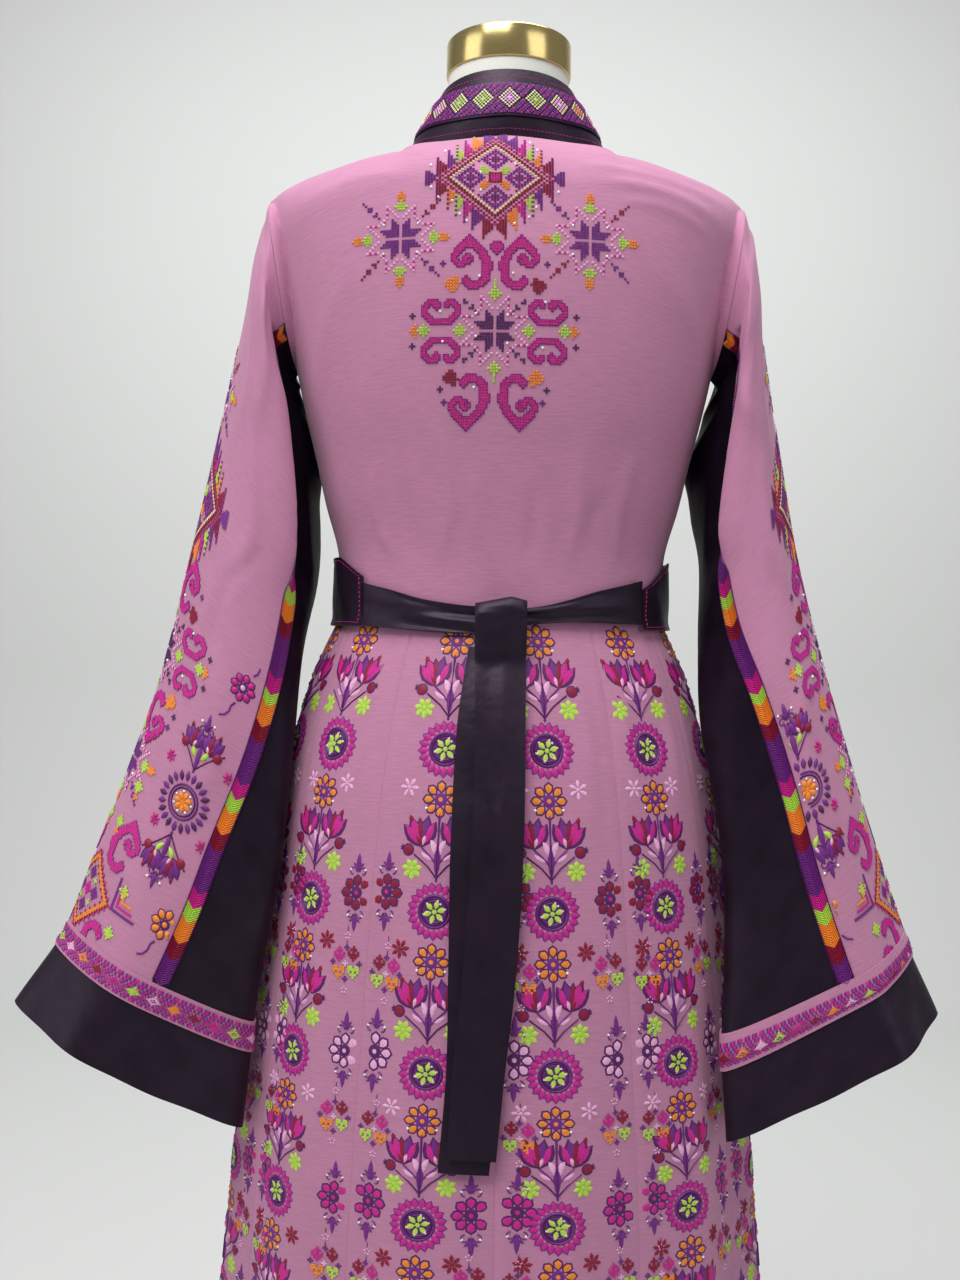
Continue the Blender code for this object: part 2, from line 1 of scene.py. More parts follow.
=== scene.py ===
"""Long kaftan with bell sleeves and a knotted satin belt, on a limbless dress form.

Metres, +Z up. The garment's back faces -Y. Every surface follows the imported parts' own form.
"""
import math

import bpy
import numpy as np
from mathutils import Matrix


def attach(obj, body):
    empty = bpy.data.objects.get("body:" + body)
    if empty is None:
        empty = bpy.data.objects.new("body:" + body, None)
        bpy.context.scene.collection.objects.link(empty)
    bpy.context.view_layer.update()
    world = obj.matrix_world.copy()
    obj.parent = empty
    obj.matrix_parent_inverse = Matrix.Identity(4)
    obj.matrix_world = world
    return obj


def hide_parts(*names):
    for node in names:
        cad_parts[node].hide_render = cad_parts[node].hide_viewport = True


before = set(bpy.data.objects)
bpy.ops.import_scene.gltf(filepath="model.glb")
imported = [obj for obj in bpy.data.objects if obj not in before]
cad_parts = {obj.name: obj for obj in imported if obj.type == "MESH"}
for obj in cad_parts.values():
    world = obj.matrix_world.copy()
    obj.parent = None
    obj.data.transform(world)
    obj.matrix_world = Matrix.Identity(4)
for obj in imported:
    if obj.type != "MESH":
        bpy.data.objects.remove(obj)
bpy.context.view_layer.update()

rng = np.random.default_rng(7)

# ---- driving sizes, metres ----
WALL = 0.002            # cloth wall
GAP = 0.0005            # between two edges that are sewn together
WAIST_Z = 1.030         # where the bodice meets the skirt
HEM_Z = 0.030
NECK_Z = 1.4075         # collar seam
COLLAR_TOP_Z = 1.463
NECK_HALF_W = 0.085     # collar seam, half width at the shoulder
NECK_BACK = 0.065       # collar seam, depth behind the middle
RING_HALF_W = 0.0560    # collar's top edge
RING_BACK = 0.0575
V_SEAM_Z = 1.200        # lowest point of the front neckline
V_INNER_Z = 1.310       # where the collar's inner edges meet in front
SHOULDER_HALF_W = 0.1955
ROLL_H = 0.050          # height over which the shoulders round away
ARMHOLE_LOW, ARMHOLE_HIGH, ARMHOLE_HALF_D = 1.229, 1.370, 0.046
BAND_LOW, BAND_HIGH = 0.28, 0.80   # the embroidered band on the collar, as shares of its height
GORES = 12
TRIM_W = 0.012
BELT_OFF = 0.0045       # belt's outer face over the cloth
BELT_LOW, BELT_HIGH = 1.0205, 1.0750
BELT_END_LEFT, BELT_END_RIGHT = -49.5, 51.0   # degrees from centre back
CAP_R, CAP_LOW, CAP_HIGH = 0.0517, 1.4765, 1.5040
NECK_R = 0.0503
POLE_R, BASE_R, BASE_T = 0.0175, 0.170, 0.012

# Bodice by height: z, half width, depth of the back, depth of the front
BODICE = np.array([
    (1.015, 0.1335, 0.098, 0.098),
    (1.030, 0.1340, 0.098, 0.098),
    (1.080, 0.1355, 0.099, 0.102),
    (1.120, 0.1465, 0.104, 0.110),
    (1.155, 0.1545, 0.109, 0.118),
    (1.185, 0.1620, 0.114, 0.124),
    (1.240, 0.1740, 0.118, 0.128),
    (1.300, 0.1840, 0.117, 0.120),
    (1.373, 0.1955, 0.103, 0.100),
    (1.430, 0.1960, 0.088, 0.085),
])
# Skirt by height: z, half width, half depth
SKIRT = np.array([
    (1.035, 0.1338, 0.098),
    (1.030, 0.1340, 0.098),
    (1.000, 0.1460, 0.107),
    (0.974, 0.1560, 0.117),
    (0.930, 0.1690, 0.130),
    (0.890, 0.1775, 0.139),
    (0.850, 0.1840, 0.146),
    (0.800, 0.1900, 0.153),
    (0.700, 0.2010, 0.165),
    (0.607, 0.2110, 0.176),
    (0.500, 0.2190, 0.188),
    (0.400, 0.2290, 0.200),
    (0.200, 0.2510, 0.226),
    (0.020, 0.2720, 0.250),
])[::-1]
# Shoulder line: x from the middle, z
SHOULDER = np.array([
    (0.000, 1.4065), (0.050, 1.4050), (0.085, 1.4075), (0.110, 1.4035), (0.140, 1.3952),
    (0.170, 1.3862), (0.188, 1.3785), (0.1955, 1.3735), (0.230, 1.3500),
])
# Sleeve sections from armhole to cuff. o: outer fold, i: inner fold, r: back seam, b: back bulge,
# f: front bulge. fr is how far the back seam lies from o towards i. y is depth, minus is the back.
SLEEVE_LEFT = np.array([
    # ox, oz, ix, iz, fr, yo, yb, yr, yi, yf
    (-0.1973, 1.3725, -0.1803, 1.2287, 0.80, 0.000, -0.047, -0.036, 0.002, 0.046),
    (-0.2032, 1.3482, -0.1795, 1.2159, 0.76, -0.002, -0.051, -0.043, 0.010, 0.047),
    (-0.2091, 1.3210, -0.1735, 1.1982, 0.70, -0.004, -0.054, -0.047, 0.020, 0.048),
    (-0.2140, 1.2839, -0.1665, 1.1783, 0.70, -0.006, -0.056, -0.049, 0.026, 0.047),
    (-0.2202, 1.2465, -0.1575, 1.1431, 0.70, -0.010, -0.058, -0.050, 0.028, 0.045),
    (-0.2298, 1.1933, -0.1530, 1.0975, 0.76, -0.016, -0.062, -0.052, 0.024, 0.042),
    (-0.2420, 1.1273, -0.1530, 1.0544, 0.85, -0.024, -0.068, -0.058, 0.008, 0.038),
    (-0.2559, 1.0548, -0.1600, 0.9953, 0.88, -0.034, -0.076, -0.072, -0.030, 0.028),
    (-0.2734, 0.9723, -0.1620, 0.9139, 0.77, -0.044, -0.084, -0.088, -0.066, 0.012),
    (-0.2962, 0.8983, -0.1675, 0.8297, 0.645, -0.054, -0.092, -0.099, -0.084, -0.002),
    (-0.3154, 0.8427, -0.1777, 0.7707, 0.605, -0.062, -0.100, -0.107, -0.083, -0.010),
    (-0.3350, 0.7840, -0.1868, 0.7094, 0.54, -0.070, -0.108, -0.115, -0.084, -0.016),
    (-0.3436, 0.7691, -0.1877, 0.6898, 0.52, -0.072, -0.110, -0.117, -0.086, -0.017),
    (-0.3718, 0.7248, -0.1937, 0.6332, 0.52, -0.078, -0.118, -0.124, -0.090, -0.020),
])
SLEEVE_RIGHT = np.array([
    # ox, oz, ix, iz, fr, yo, yb, yr, yi, yf
    (0.1973, 1.3715, 0.1803, 1.2300, 0.80, 0.000, -0.047, -0.036, 0.002, 0.046),
    (0.2045, 1.3505, 0.1795, 1.2180, 0.76, -0.002, -0.051, -0.043, 0.010, 0.047),
    (0.2070, 1.3275, 0.1765, 1.2037, 0.66, -0.004, -0.054, -0.047, 0.020, 0.048),
    (0.2086, 1.3038, 0.1720, 1.1836, 0.56, -0.006, -0.056, -0.050, 0.026, 0.047),
    (0.2118, 1.2615, 0.1590, 1.1515, 0.48, -0.010, -0.058, -0.052, 0.028, 0.045),
    (0.2178, 1.2176, 0.1605, 1.1152, 0.64, -0.016, -0.062, -0.054, 0.024, 0.042),
    (0.2270, 1.1559, 0.1655, 1.0755, 0.86, -0.024, -0.068, -0.060, 0.008, 0.038),
    (0.2381, 1.0820, 0.1610, 1.0127, 0.76, -0.034, -0.076, -0.073, -0.024, 0.028),
    (0.2529, 1.0142, 0.1583, 0.9459, 0.59, -0.044, -0.086, -0.090, -0.060, 0.012),
    (0.2724, 0.9366, 0.1690, 0.8751, 0.525, -0.054, -0.096, -0.103, -0.082, -0.002),
    (0.2903, 0.8727, 0.1740, 0.8038, 0.48, -0.062, -0.106, -0.114, -0.092, -0.010),
    (0.3189, 0.7849, 0.1700, 0.7111, 0.39, -0.070, -0.116, -0.128, -0.112, -0.018),
    (0.3232, 0.7721, 0.1704, 0.6887, 0.39, -0.072, -0.118, -0.130, -0.114, -0.019),
    (0.3411, 0.7263, 0.1727, 0.6381, 0.39, -0.078, -0.126, -0.138, -0.120, -0.022),
])
# How far the front seam lies from o towards i, row by row
FRONT_SEAM_LEFT = (0.72, 0.72, 0.68, 0.60, 0.64, 0.70, 0.72, 0.72, 0.70, 0.605, 0.567, 0.52, 0.52, 0.52)
FRONT_SEAM_RIGHT = (0.72, 0.72, 0.68, 0.56, 0.45, 0.48, 0.66, 0.60, 0.50, 0.51, 0.48, 0.45, 0.45, 0.45)
BAND_ROW, CUFF_ROW, END_ROW = 11.0, 12.0, 13.0   # rows where band, cuff and sleeve end
CUFF_FAR_DROP = 0.008   # the cuff's front side hangs this much lower
# Belt ties: degrees from centre back, lower edge, upper edge
TIE_LEFT = np.array([
    (-49.0, 1.0205, 1.0535), (-36.0, 1.0190, 1.0480), (-22.0, 1.0172, 1.0400), (-12.8, 1.0160, 1.0370), (-6.9, 1.0156, 1.0358),
])
TIE_RIGHT = np.array([
    (6.3, 1.0222, 1.0352), (11.6, 1.0236, 1.0372), (18.0, 1.0248, 1.0410), (28.0, 1.0252, 1.0480), (40.0, 1.0246, 1.0540), (50.5, 1.0243, 1.0585),
])
# Belt tails by height: z, middle x, width
TAIL_FRONT = np.array([
    (0.643, -0.0170, 0.0350), (0.700, -0.0130, 0.0375), (0.760, -0.0070, 0.0385), (0.870, -0.0010, 0.0375),
    (0.960, -0.0005, 0.0375), (1.0065, -0.0010, 0.0385),
])
TAIL_BACK = np.array([
    (0.632, -0.0225, 0.0365), (0.700, -0.0170, 0.0380), (0.760, -0.0165, 0.0385), (0.870, -0.0165, 0.0380),
    (0.960, -0.0130, 0.0365), (1.0055, -0.0080, 0.0340),
])
TAIL_FRONT_OFF, TAIL_BACK_OFF = 0.0100, 0.0050
KNOT_C, KNOT_R = (-0.0014, -0.1160, 1.0265), (0.0205, 0.0130, 0.0185)
# Form's torso and neck: z, half width, half depth
TORSO = np.array([
    (0.800, 0.110, 0.080), (0.806, 0.132, 0.098), (0.830, 0.150, 0.112), (0.870, 0.152, 0.115), (0.930, 0.146, 0.109),
    (0.985, 0.130, 0.096), (1.030, 0.120, 0.086), (1.080, 0.122, 0.087), (1.150, 0.138, 0.095), (1.220, 0.150, 0.104),
    (1.285, 0.158, 0.103), (1.330, 0.156, 0.090), (1.362, 0.136, 0.074), (1.384, 0.104, 0.062), (1.398, 0.074, 0.054),
    (1.412, 0.056, 0.0515), (1.430, NECK_R, NECK_R), (1.455, NECK_R, NECK_R), (1.4762, NECK_R, NECK_R),
])


# ---- curves and surfaces ----
def cubic(table, x, column):
    """Smooth value of a table's column at x, by Catmull-Rom tangents on uneven steps."""
    xs, ys = table[:, 0], table[:, column]
    slope = np.gradient(ys, xs)
    x = np.clip(np.asarray(x, float), xs[0], xs[-1])
    k = np.clip(np.searchsorted(xs, x) - 1, 0, len(xs) - 2)
    h = xs[k + 1] - xs[k]
    t = (x - xs[k]) / h
    return ((2 * t**3 - 3 * t**2 + 1) * ys[k] + (t**3 - 2 * t**2 + t) * h * slope[k]
            + (3 * t**2 - 2 * t**3) * ys[k + 1] + (t**3 - t**2) * h * slope[k + 1])


def smooth(t):
    t = np.clip(t, 0, 1)
    return t * t * (3 - 2 * t)


def bodice_depth(x, z, front):
    """Depth of the bodice surface from the middle plane at a point of its outline."""
    half = cubic(BODICE, z, 1)
    depth = cubic(BODICE, z, 3 if front else 2)
    s = np.clip(np.abs(x) / half, 0, 1)
    top = cubic(SHOULDER, np.abs(x), 1)
    under = np.clip((top - z) / ROLL_H, 0, 1)
    roll = np.sqrt(np.clip(1 - (1 - under) ** 2, 0, 1))
    neck = 0.0 if front else NECK_BACK * np.sqrt(np.clip(1 - (x / NECK_HALF_W) ** 2, 0, 1))
    side = np.sqrt(np.clip(1 - s**2.4, 0, 1))
    hole = ARMHOLE_HALF_D * np.sqrt(np.clip(1 - ((2 * z - ARMHOLE_LOW - ARMHOLE_HIGH) / (ARMHOLE_HIGH - ARMHOLE_LOW)) ** 2, 0, 1))
    body = neck + (depth * side - neck) * roll
    return np.maximum(body, hole * smooth(s**6)) + 0.0004


def neckline(x):
    """Height of the front neckline."""
    return V_SEAM_Z + (1.4075 - V_SEAM_Z) * np.clip(np.abs(x) / NECK_HALF_W, 0, 1) ** 0.9


def bodice(q, v, front):
    """Bodice panel: q -1..1 across, v 0..1 from the waist up."""
    s = np.sin(q * math.pi / 2)
    across = s * SHOULDER_HALF_W
    top = cubic(SHOULDER, np.abs(across), 1)
    if front:
        top = np.where(np.abs(across) < NECK_HALF_W, neckline(across), top)
    z = WAIST_Z + (top - WAIST_Z) * v
    x = s * cubic(BODICE, z, 1)
    y = bodice_depth(x, z, front)
    return np.stack([x - 0.0004 * np.sign(x), y if front else -y, z + 0.0005 - 0.0009 * v], -1)


def places(columns):
    """Panel places q of columns that are given as shares of the shoulder's half width."""
    return np.arcsin(np.array(columns)) * 2 / math.pi


BACK_COLUMNS = [0, 0.15, 0.28, 0.37, 0.42, 0.4348, 0.50, 0.62, 0.76, 0.87, 0.95, 0.985, 1]
FRONT_COLUMNS = [0.006, 0.10, 0.19, 0.28, 0.35, 0.40, 0.4348, 0.52, 0.66, 0.80, 0.91, 0.975, 1]
UP = np.array([0, 0.10, 0.20, 0.31, 0.43, 0.55, 0.67, 0.77, 0.86, 0.925, 0.965, 0.99, 1])


def skirt_radii(z):
    return cubic(SKIRT, z, 1), cubic(SKIRT, z, 2)


def skirt(theta, z, out=0.0):
    """Skirt point: theta in radians from centre back, soft flutes between the seams."""
    a, b = skirt_radii(z)
    flute = 1 - 0.020 * smooth((1.0 - z) / 0.9) * np.cos(GORES * theta)
    return np.stack([(a * flute + out) * np.sin(theta), -(b * flute + out) * np.cos(theta), z + 0 * theta], -1)


def waist(theta, z, out):
    """Point over the cloth near the waist, bodice above the seam and skirt below it."""
    above = z > WAIST_Z
    a = np.where(above, cubic(BODICE, z, 1), cubic(SKIRT, z, 1))
    b = np.where(above, np.where(np.cos(theta) > 0, cubic(BODICE, z, 2), cubic(BODICE, z, 3)), cubic(SKIRT, z, 2))
    n = 2.4  # the bodice's rounder side reaches further than an ellipse
    x = a * np.sign(np.sin(theta)) * np.abs(np.sin(theta)) ** (2 / n)
    y = -b * np.cos(theta)
    d = np.stack([np.sin(theta) / a, -np.cos(theta) / b, 0 * theta], -1)
    d = d / np.linalg.norm(d, axis=-1, keepdims=True)
    return np.stack([x, y, z + 0 * theta], -1) + d * out


def tail(x, z, out):
    a, b = skirt_radii(z)
    return np.stack([x, -(b * np.sqrt(np.clip(1 - (x / a) ** 2, 0, 1)) * 1.004 + out), z], -1)


def around(knots, per):
    """Closed smooth curve through knots[..., k, 3]."""
    n = knots.shape[-2]
    out = []
    for k in range(n):
        p0, p1, p2, p3 = (knots[..., (k + j) % n, :] for j in (-1, 0, 1, 2))
        for j in range(per):
            t = j / per
            out.append(0.5 * (2 * p1 + (p2 - p0) * t + (2 * p0 - 5 * p1 + 4 * p2 - p3) * t**2 + (3 * p1 - p0 - 3 * p2 + p3) * t**3))
    return np.stack(out, -2)


PER = 56


def sleeve_tube(rows, steps):
    """Points and outward normals of the whole sleeve: rows down it, 6 * PER round it.
    Round it: 0 outer fold, 2 PER back seam, 3 PER inner fold, 4 PER front seam."""
    index = np.arange(len(rows))
    table = np.column_stack([index, rows])
    t = np.linspace(0, len(rows) - 1, steps)
    c = [cubic(table, t, k + 1) for k in range(rows.shape[1])]
    ox, oz, ix, iz, fr, yo, yb, yr, yi, yf = c
    drop = CUFF_FAR_DROP * smooth((t - BAND_ROW) / 2)
    ff = cubic(np.column_stack([index, FRONT_SEAM_LEFT if rows[0, 0] < 0 else FRONT_SEAM_RIGHT]), t, 1)

    def at(f, y, fall):
        return np.stack([ox + (ix - ox) * f, y, oz + (iz - oz) * f - fall], -1)

    knots = np.stack([
        at(0 * t, yo, 0), at(0.45 * fr, yb, 0), at(fr, yr, 0),
        at(0 * t + 1, yi, 0), at(ff, yf, drop), at(0.22 + 0 * t, yf * 0.75 + yo * 0.25, drop),
    ], -2)
    p = around(knots, PER)
    side = np.sign(rows[0, 0])
    near = smooth(1 - t)[:, None]
    p[..., 0] = p[..., 0] * (1 - near) + near * side * (np.minimum(cubic(BODICE, p[..., 2], 1), 0.1955) + 0.0030)
    ds = np.roll(p, -1, 1) - np.roll(p, 1, 1)
    dt = np.gradient(p, axis=0)
    n = np.cross(ds, dt)
    n /= np.linalg.norm(n, axis=-1, keepdims=True)
    if (n * (p - p.mean(1, keepdims=True))).sum() < 0:
        n = -n
    return t, p, n


# collar: w -1..1 from one front end round the back of the neck to the other, h 0..1 from its seam to its free edge
def collar(w, h):
    back = np.abs(w) < 0.4
    theta = np.clip(w / 0.4, -1, 1) * math.pi / 2
    f = np.clip((np.abs(w) - 0.4) / 0.6, 0, 1)
    sign = np.sign(w)
    seam_b = np.stack([NECK_HALF_W * np.sin(theta), -NECK_BACK * np.cos(theta) - 0.0006, cubic(SHOULDER, NECK_HALF_W * np.abs(np.sin(theta)), 1) + 0.0016], -1)
    ring_b = np.stack([RING_HALF_W * np.sin(theta), -RING_BACK * np.cos(theta), COLLAR_TOP_Z - 0.004 * np.abs(np.sin(theta)) ** 3], -1)
    x = NECK_HALF_W * (1 - f) + 0.0012 * f
    z = neckline(x)
    seam_f = np.stack([sign * (x - 0.001 * (1 - f)), bodice_depth(x * 0.985, z, True) + 0.0034 * smooth(f / 0.2), z + 0.0016], -1)
    x1 = RING_HALF_W * (1 - f) + 0.0012 * f
    z1 = COLLAR_TOP_Z - 0.004 - (COLLAR_TOP_Z - 0.004 - V_INNER_Z) * f
    ring_f = np.stack([sign * x1, (bodice_depth(x1, np.minimum(z1, 1.36), True) + 0.0045) * smooth(f / 0.5 + 0.02 * (f > 0)), z1], -1)
    seam = np.where(back[..., None], seam_b, seam_f)
    ring = np.where(back[..., None], ring_b, ring_f)
    p = seam + (ring - seam) * h[..., None]
    lift = 0.004 * np.sin(math.pi * h)
    p[..., 1] -= lift * np.where(back, np.cos(theta), 0)
    p[..., 2] -= 0.3 * lift
    return p




# ---- camera ----
EYE = (-0.0165, -1.1667, 1.01)
FOCUS, ROLL = 1400.0, 0.0157


def project(p):
    """Picture place (u to the right, v down, of 960 x 1280) of points."""
    d = p[..., 1] - EYE[1]
    x = (p[..., 0] - EYE[0]) * FOCUS / d
    z = -(p[..., 2] - EYE[2]) * FOCUS / d
    k = 1 + ROLL**2
    return np.stack([480 + (x - ROLL * z) / k, 640 + (z + ROLL * x) / k], -1)


# ---- meshes ----
def link(obj):
    bpy.context.scene.collection.objects.link(obj)
    return obj


def make_mesh(name, verts, quads=None, tris=None, mats=(), index=None, uv=None, smooth_shade=True, sharp=None):
    """Mesh object from arrays. index is the material of each face, quads first, then tris. uv is one pair a vertex."""
    verts = np.asarray(verts, np.float32).reshape(-1, 3)
    quads = np.zeros((0, 4), np.int32) if quads is None else np.asarray(quads, np.int32).reshape(-1, 4)
    tris = np.zeros((0, 3), np.int32) if tris is None else np.asarray(tris, np.int32).reshape(-1, 3)
    loops = np.concatenate([quads.ravel(), tris.ravel()]).astype(np.int32)
    sizes = np.concatenate([np.full(len(quads), 4), np.full(len(tris), 3)]).astype(np.int32)
    starts = np.concatenate([[0], np.cumsum(sizes)[:-1]]).astype(np.int32)
    mesh = bpy.data.meshes.new(name)
    mesh.vertices.add(len(verts))
    mesh.vertices.foreach_set("co", verts.ravel())
    mesh.loops.add(len(loops))
    mesh.loops.foreach_set("vertex_index", loops)
    mesh.polygons.add(len(sizes))
    mesh.polygons.foreach_set("loop_start", starts)
    mesh.polygons.foreach_set("loop_total", sizes)
    for m in mats:
        mesh.materials.append(m)
    if index is not None:
        mesh.polygons.foreach_set("material_index", np.asarray(index, np.int32))
    if uv is not None:
        layer = mesh.uv_layers.new(name="cloth")
        layer.data.foreach_set("uv", np.asarray(uv, np.float32)[loops].ravel())
    mesh.update(calc_edges=True)
    mesh.validate()
    if smooth_shade:
        mesh.shade_smooth()
        if sharp:
            mesh.set_sharp_from_angle(angle=math.radians(sharp))
    obj = bpy.data.objects.new(name, mesh)
    return link(obj)


def grid(us, vs):
    return np.meshgrid(us, vs, indexing="ij")


def normals(p, outward, ring=False):
    du = (np.roll(p, -1, 0) - np.roll(p, 1, 0)) if ring else np.gradient(p, axis=0)
    n = np.cross(du, np.gradient(p, axis=1))
    n /= np.maximum(np.linalg.norm(n, axis=-1, keepdims=True), 1e-12)
    return n if (n * outward).sum() > 0 else -n


def length_uv(p, u0=0.0, v0=0.0):
    """Metres across and along a grid, for weave that keeps its size."""
    du = np.linalg.norm(np.diff(p, axis=0), axis=-1)
    dv = np.linalg.norm(np.diff(p, axis=1), axis=-1)
    u = np.concatenate([np.zeros((1, p.shape[1])), np.cumsum(du, 0)])
    v = np.concatenate([np.zeros((p.shape[0], 1)), np.cumsum(dv, 1)], 1)
    u = u - u[p.shape[0] // 2]
    return np.stack([u + u0, v.mean(0)[None, :] + 0 * v + v0], -1)


def sheet_mesh(name, p, n, mat, thick=0.0011, ring=False, uv=None, side=0, crease=None):
    """A closed thin sheet: p[i, j] is its outer face, n its outward normals."""
    ni, nj = p.shape[:2]
    inner = p - n * thick
    if side:
        inner[..., 1] = side * np.maximum(side * inner[..., 1], 0.0002)
    verts = np.concatenate([p.reshape(-1, 3), inner.reshape(-1, 3)])
    half = ni * nj
    last = ni if ring else ni - 1
    i, j = np.meshgrid(np.arange(last), np.arange(nj - 1), indexing="ij")
    i, j, i2 = i.ravel(), j.ravel(), ((i + 1) % ni).ravel()
    a, b, c, d = i * nj + j, i2 * nj + j, i2 * nj + j + 1, i * nj + j + 1
    quads = [np.stack([a, b, c, d], 1), np.stack([a, d, c, b], 1) + half]
    k = np.arange(last)
    k2 = (k + 1) % ni
    for e, flip in ((0, 1), (nj - 1, 0)):
        q = np.stack([k * nj + e, k * nj + e + half, k2 * nj + e + half, k2 * nj + e], 1)
        quads.append(q[:, ::-1] if flip == 0 else q)
    if not ring:
        k = np.arange(nj - 1)
        for e, flip in ((0, 0), (ni - 1, 1)):
            q = np.stack([e * nj + k, e * nj + k + half, e * nj + k + 1 + half, e * nj + k + 1], 1)
            quads.append(q[:, ::-1] if flip == 0 else q)
    quads = np.concatenate(quads)
    # faces look outward
    f = quads[0]
    face_n = np.cross(verts[f[1]] - verts[f[0]], verts[f[2]] - verts[f[0]])
    if (face_n * n[0, 0]).sum() < 0:
        quads = quads[:, ::-1]
    if uv is None:
        uv = length_uv(p)
    uvs = np.concatenate([uv.reshape(-1, 2), uv.reshape(-1, 2)])
    obj = make_mesh(name, verts, quads, None, [mat], None, uvs, True, 60)
    return obj


def put(obj, replaced):
    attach(obj, "root")
    if replaced:
        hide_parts(*([replaced] if isinstance(replaced, str) else replaced))
    return obj


def folds(table, x, z):
    """Sum of soft ridges (+) and troughs (-): rows are x0, z0, x1, z1, width, height. A ridge fades at both ends."""
    total = np.zeros(np.broadcast(x, z).shape)
    for x0, z0, x1, z1, width, height in table:
        dx, dz = x1 - x0, z1 - z0
        length2 = dx * dx + dz * dz
        s = ((x - x0) * dx + (z - z0) * dz) / length2
        bend = 0.12 * math.sqrt(length2) * np.sin(math.pi * np.clip(s, 0, 1)) * math.sin(37 * (x0 + z0 + x1))
        off = ((x - x0) * dz - (z - z0) * dx) / math.sqrt(length2) + bend
        w = width * (0.75 + 0.35 * np.clip(s, 0, 1))
        fade = smooth((s + 0.12) / 0.35) * smooth((1.12 - s) / 0.45)
        total = total + height * np.exp(-((off / w) ** 2)) * fade
    return total


# ---- materials ----
def new_material(name):
    m = bpy.data.materials.new(name)
    m.use_nodes = True
    return m, m.node_tree.nodes, m.node_tree.links, m.node_tree.nodes["Principled BSDF"]


def uv_map(nodes, links, scale):
    uvn = nodes.new("ShaderNodeUVMap")
    uvn.uv_map = "cloth"
    mapping = nodes.new("ShaderNodeMapping")
    mapping.inputs["Scale"].default_value = scale
    links.new(uvn.outputs["UV"], mapping.inputs["Vector"])
    return mapping.outputs["Vector"]


def noise_on(nodes, links, vector, scale, detail=3.0, rough=0.5):
    t = nodes.new("ShaderNodeTexNoise")
    t.inputs["Scale"].default_value = scale
    t.inputs["Detail"].default_value = detail
    t.inputs["Roughness"].default_value = rough
    if vector is not None:
        links.new(vector, t.inputs["Vector"])
    return t.outputs["Fac"]


def ramp(nodes, links, value, stops):
    r = nodes.new("ShaderNodeValToRGB")
    while len(r.color_ramp.elements) < len(stops):
        r.color_ramp.elements.new(0.5)
    for e, (at, colour) in zip(r.color_ramp.elements, stops):
        e.position = at
        e.color = (*colour, 1)
    links.new(value, r.inputs["Fac"])
    return r.outputs["Color"]


def math_node(nodes, links, kind, a, b):
    m = nodes.new("ShaderNodeMath")
    m.operation = kind
    for socket, value in zip(m.inputs, (a, b)):
        if isinstance(value, (int, float)):
            socket.default_value = value
        else:
            links.new(value, socket)
    return m.outputs[0]


def bump(nodes, links, shader, height, strength, distance, before=None):
    b = nodes.new("ShaderNodeBump")
    b.inputs["Strength"].default_value = strength
    b.inputs["Distance"].default_value = distance
    links.new(height, b.inputs["Height"])
    if before is not None:
        links.new(before, b.inputs["Normal"])
    links.new(b.outputs["Normal"], shader.inputs["Normal"])
    return b.outputs["Normal"]


def times(c, k):
    return tuple(min(1.0, x * k) for x in c)


def crepe(name, colour):
    """Matt wool crepe: fine crosswise ribs, a dry hand and a little uneven dye."""
    m, nodes, links, s = new_material(name)
    fine = uv_map(nodes, links, (1, 1, 1))
    wide = uv_map(nodes, links, (0.12, 1.0, 1))
    tone = noise_on(nodes, links, fine, 28.0, 4.0)
    rib = noise_on(nodes, links, wide, 620.0, 2.0, 0.6)
    grain = noise_on(nodes, links, fine, 1400.0, 2.0, 0.6)
    both = math_node(nodes, links, "ADD", math_node(nodes, links, "MULTIPLY", rib, 0.7), math_node(nodes, links, "MULTIPLY", grain, 0.3))
    mix = math_node(nodes, links, "ADD", math_node(nodes, links, "MULTIPLY", tone, 0.18), math_node(nodes, links, "MULTIPLY", both, 0.82))
    links.new(ramp(nodes, links, mix, [(0.32, times(colour, 0.88)), (0.52, colour), (0.72, times(colour, 1.10))]), s.inputs["Base Color"])
    s.inputs["Roughness"].default_value = 0.88
    s.inputs["Specular IOR Level"].default_value = 0.22
    s.inputs["Sheen Weight"].default_value = 0.25
    s.inputs["Sheen Roughness"].default_value = 0.5
    s.inputs["Sheen Tint"].default_value = (0.95, 0.72, 0.85, 1)
    bump(nodes, links, s, both, 0.35, 0.0006)
    return m


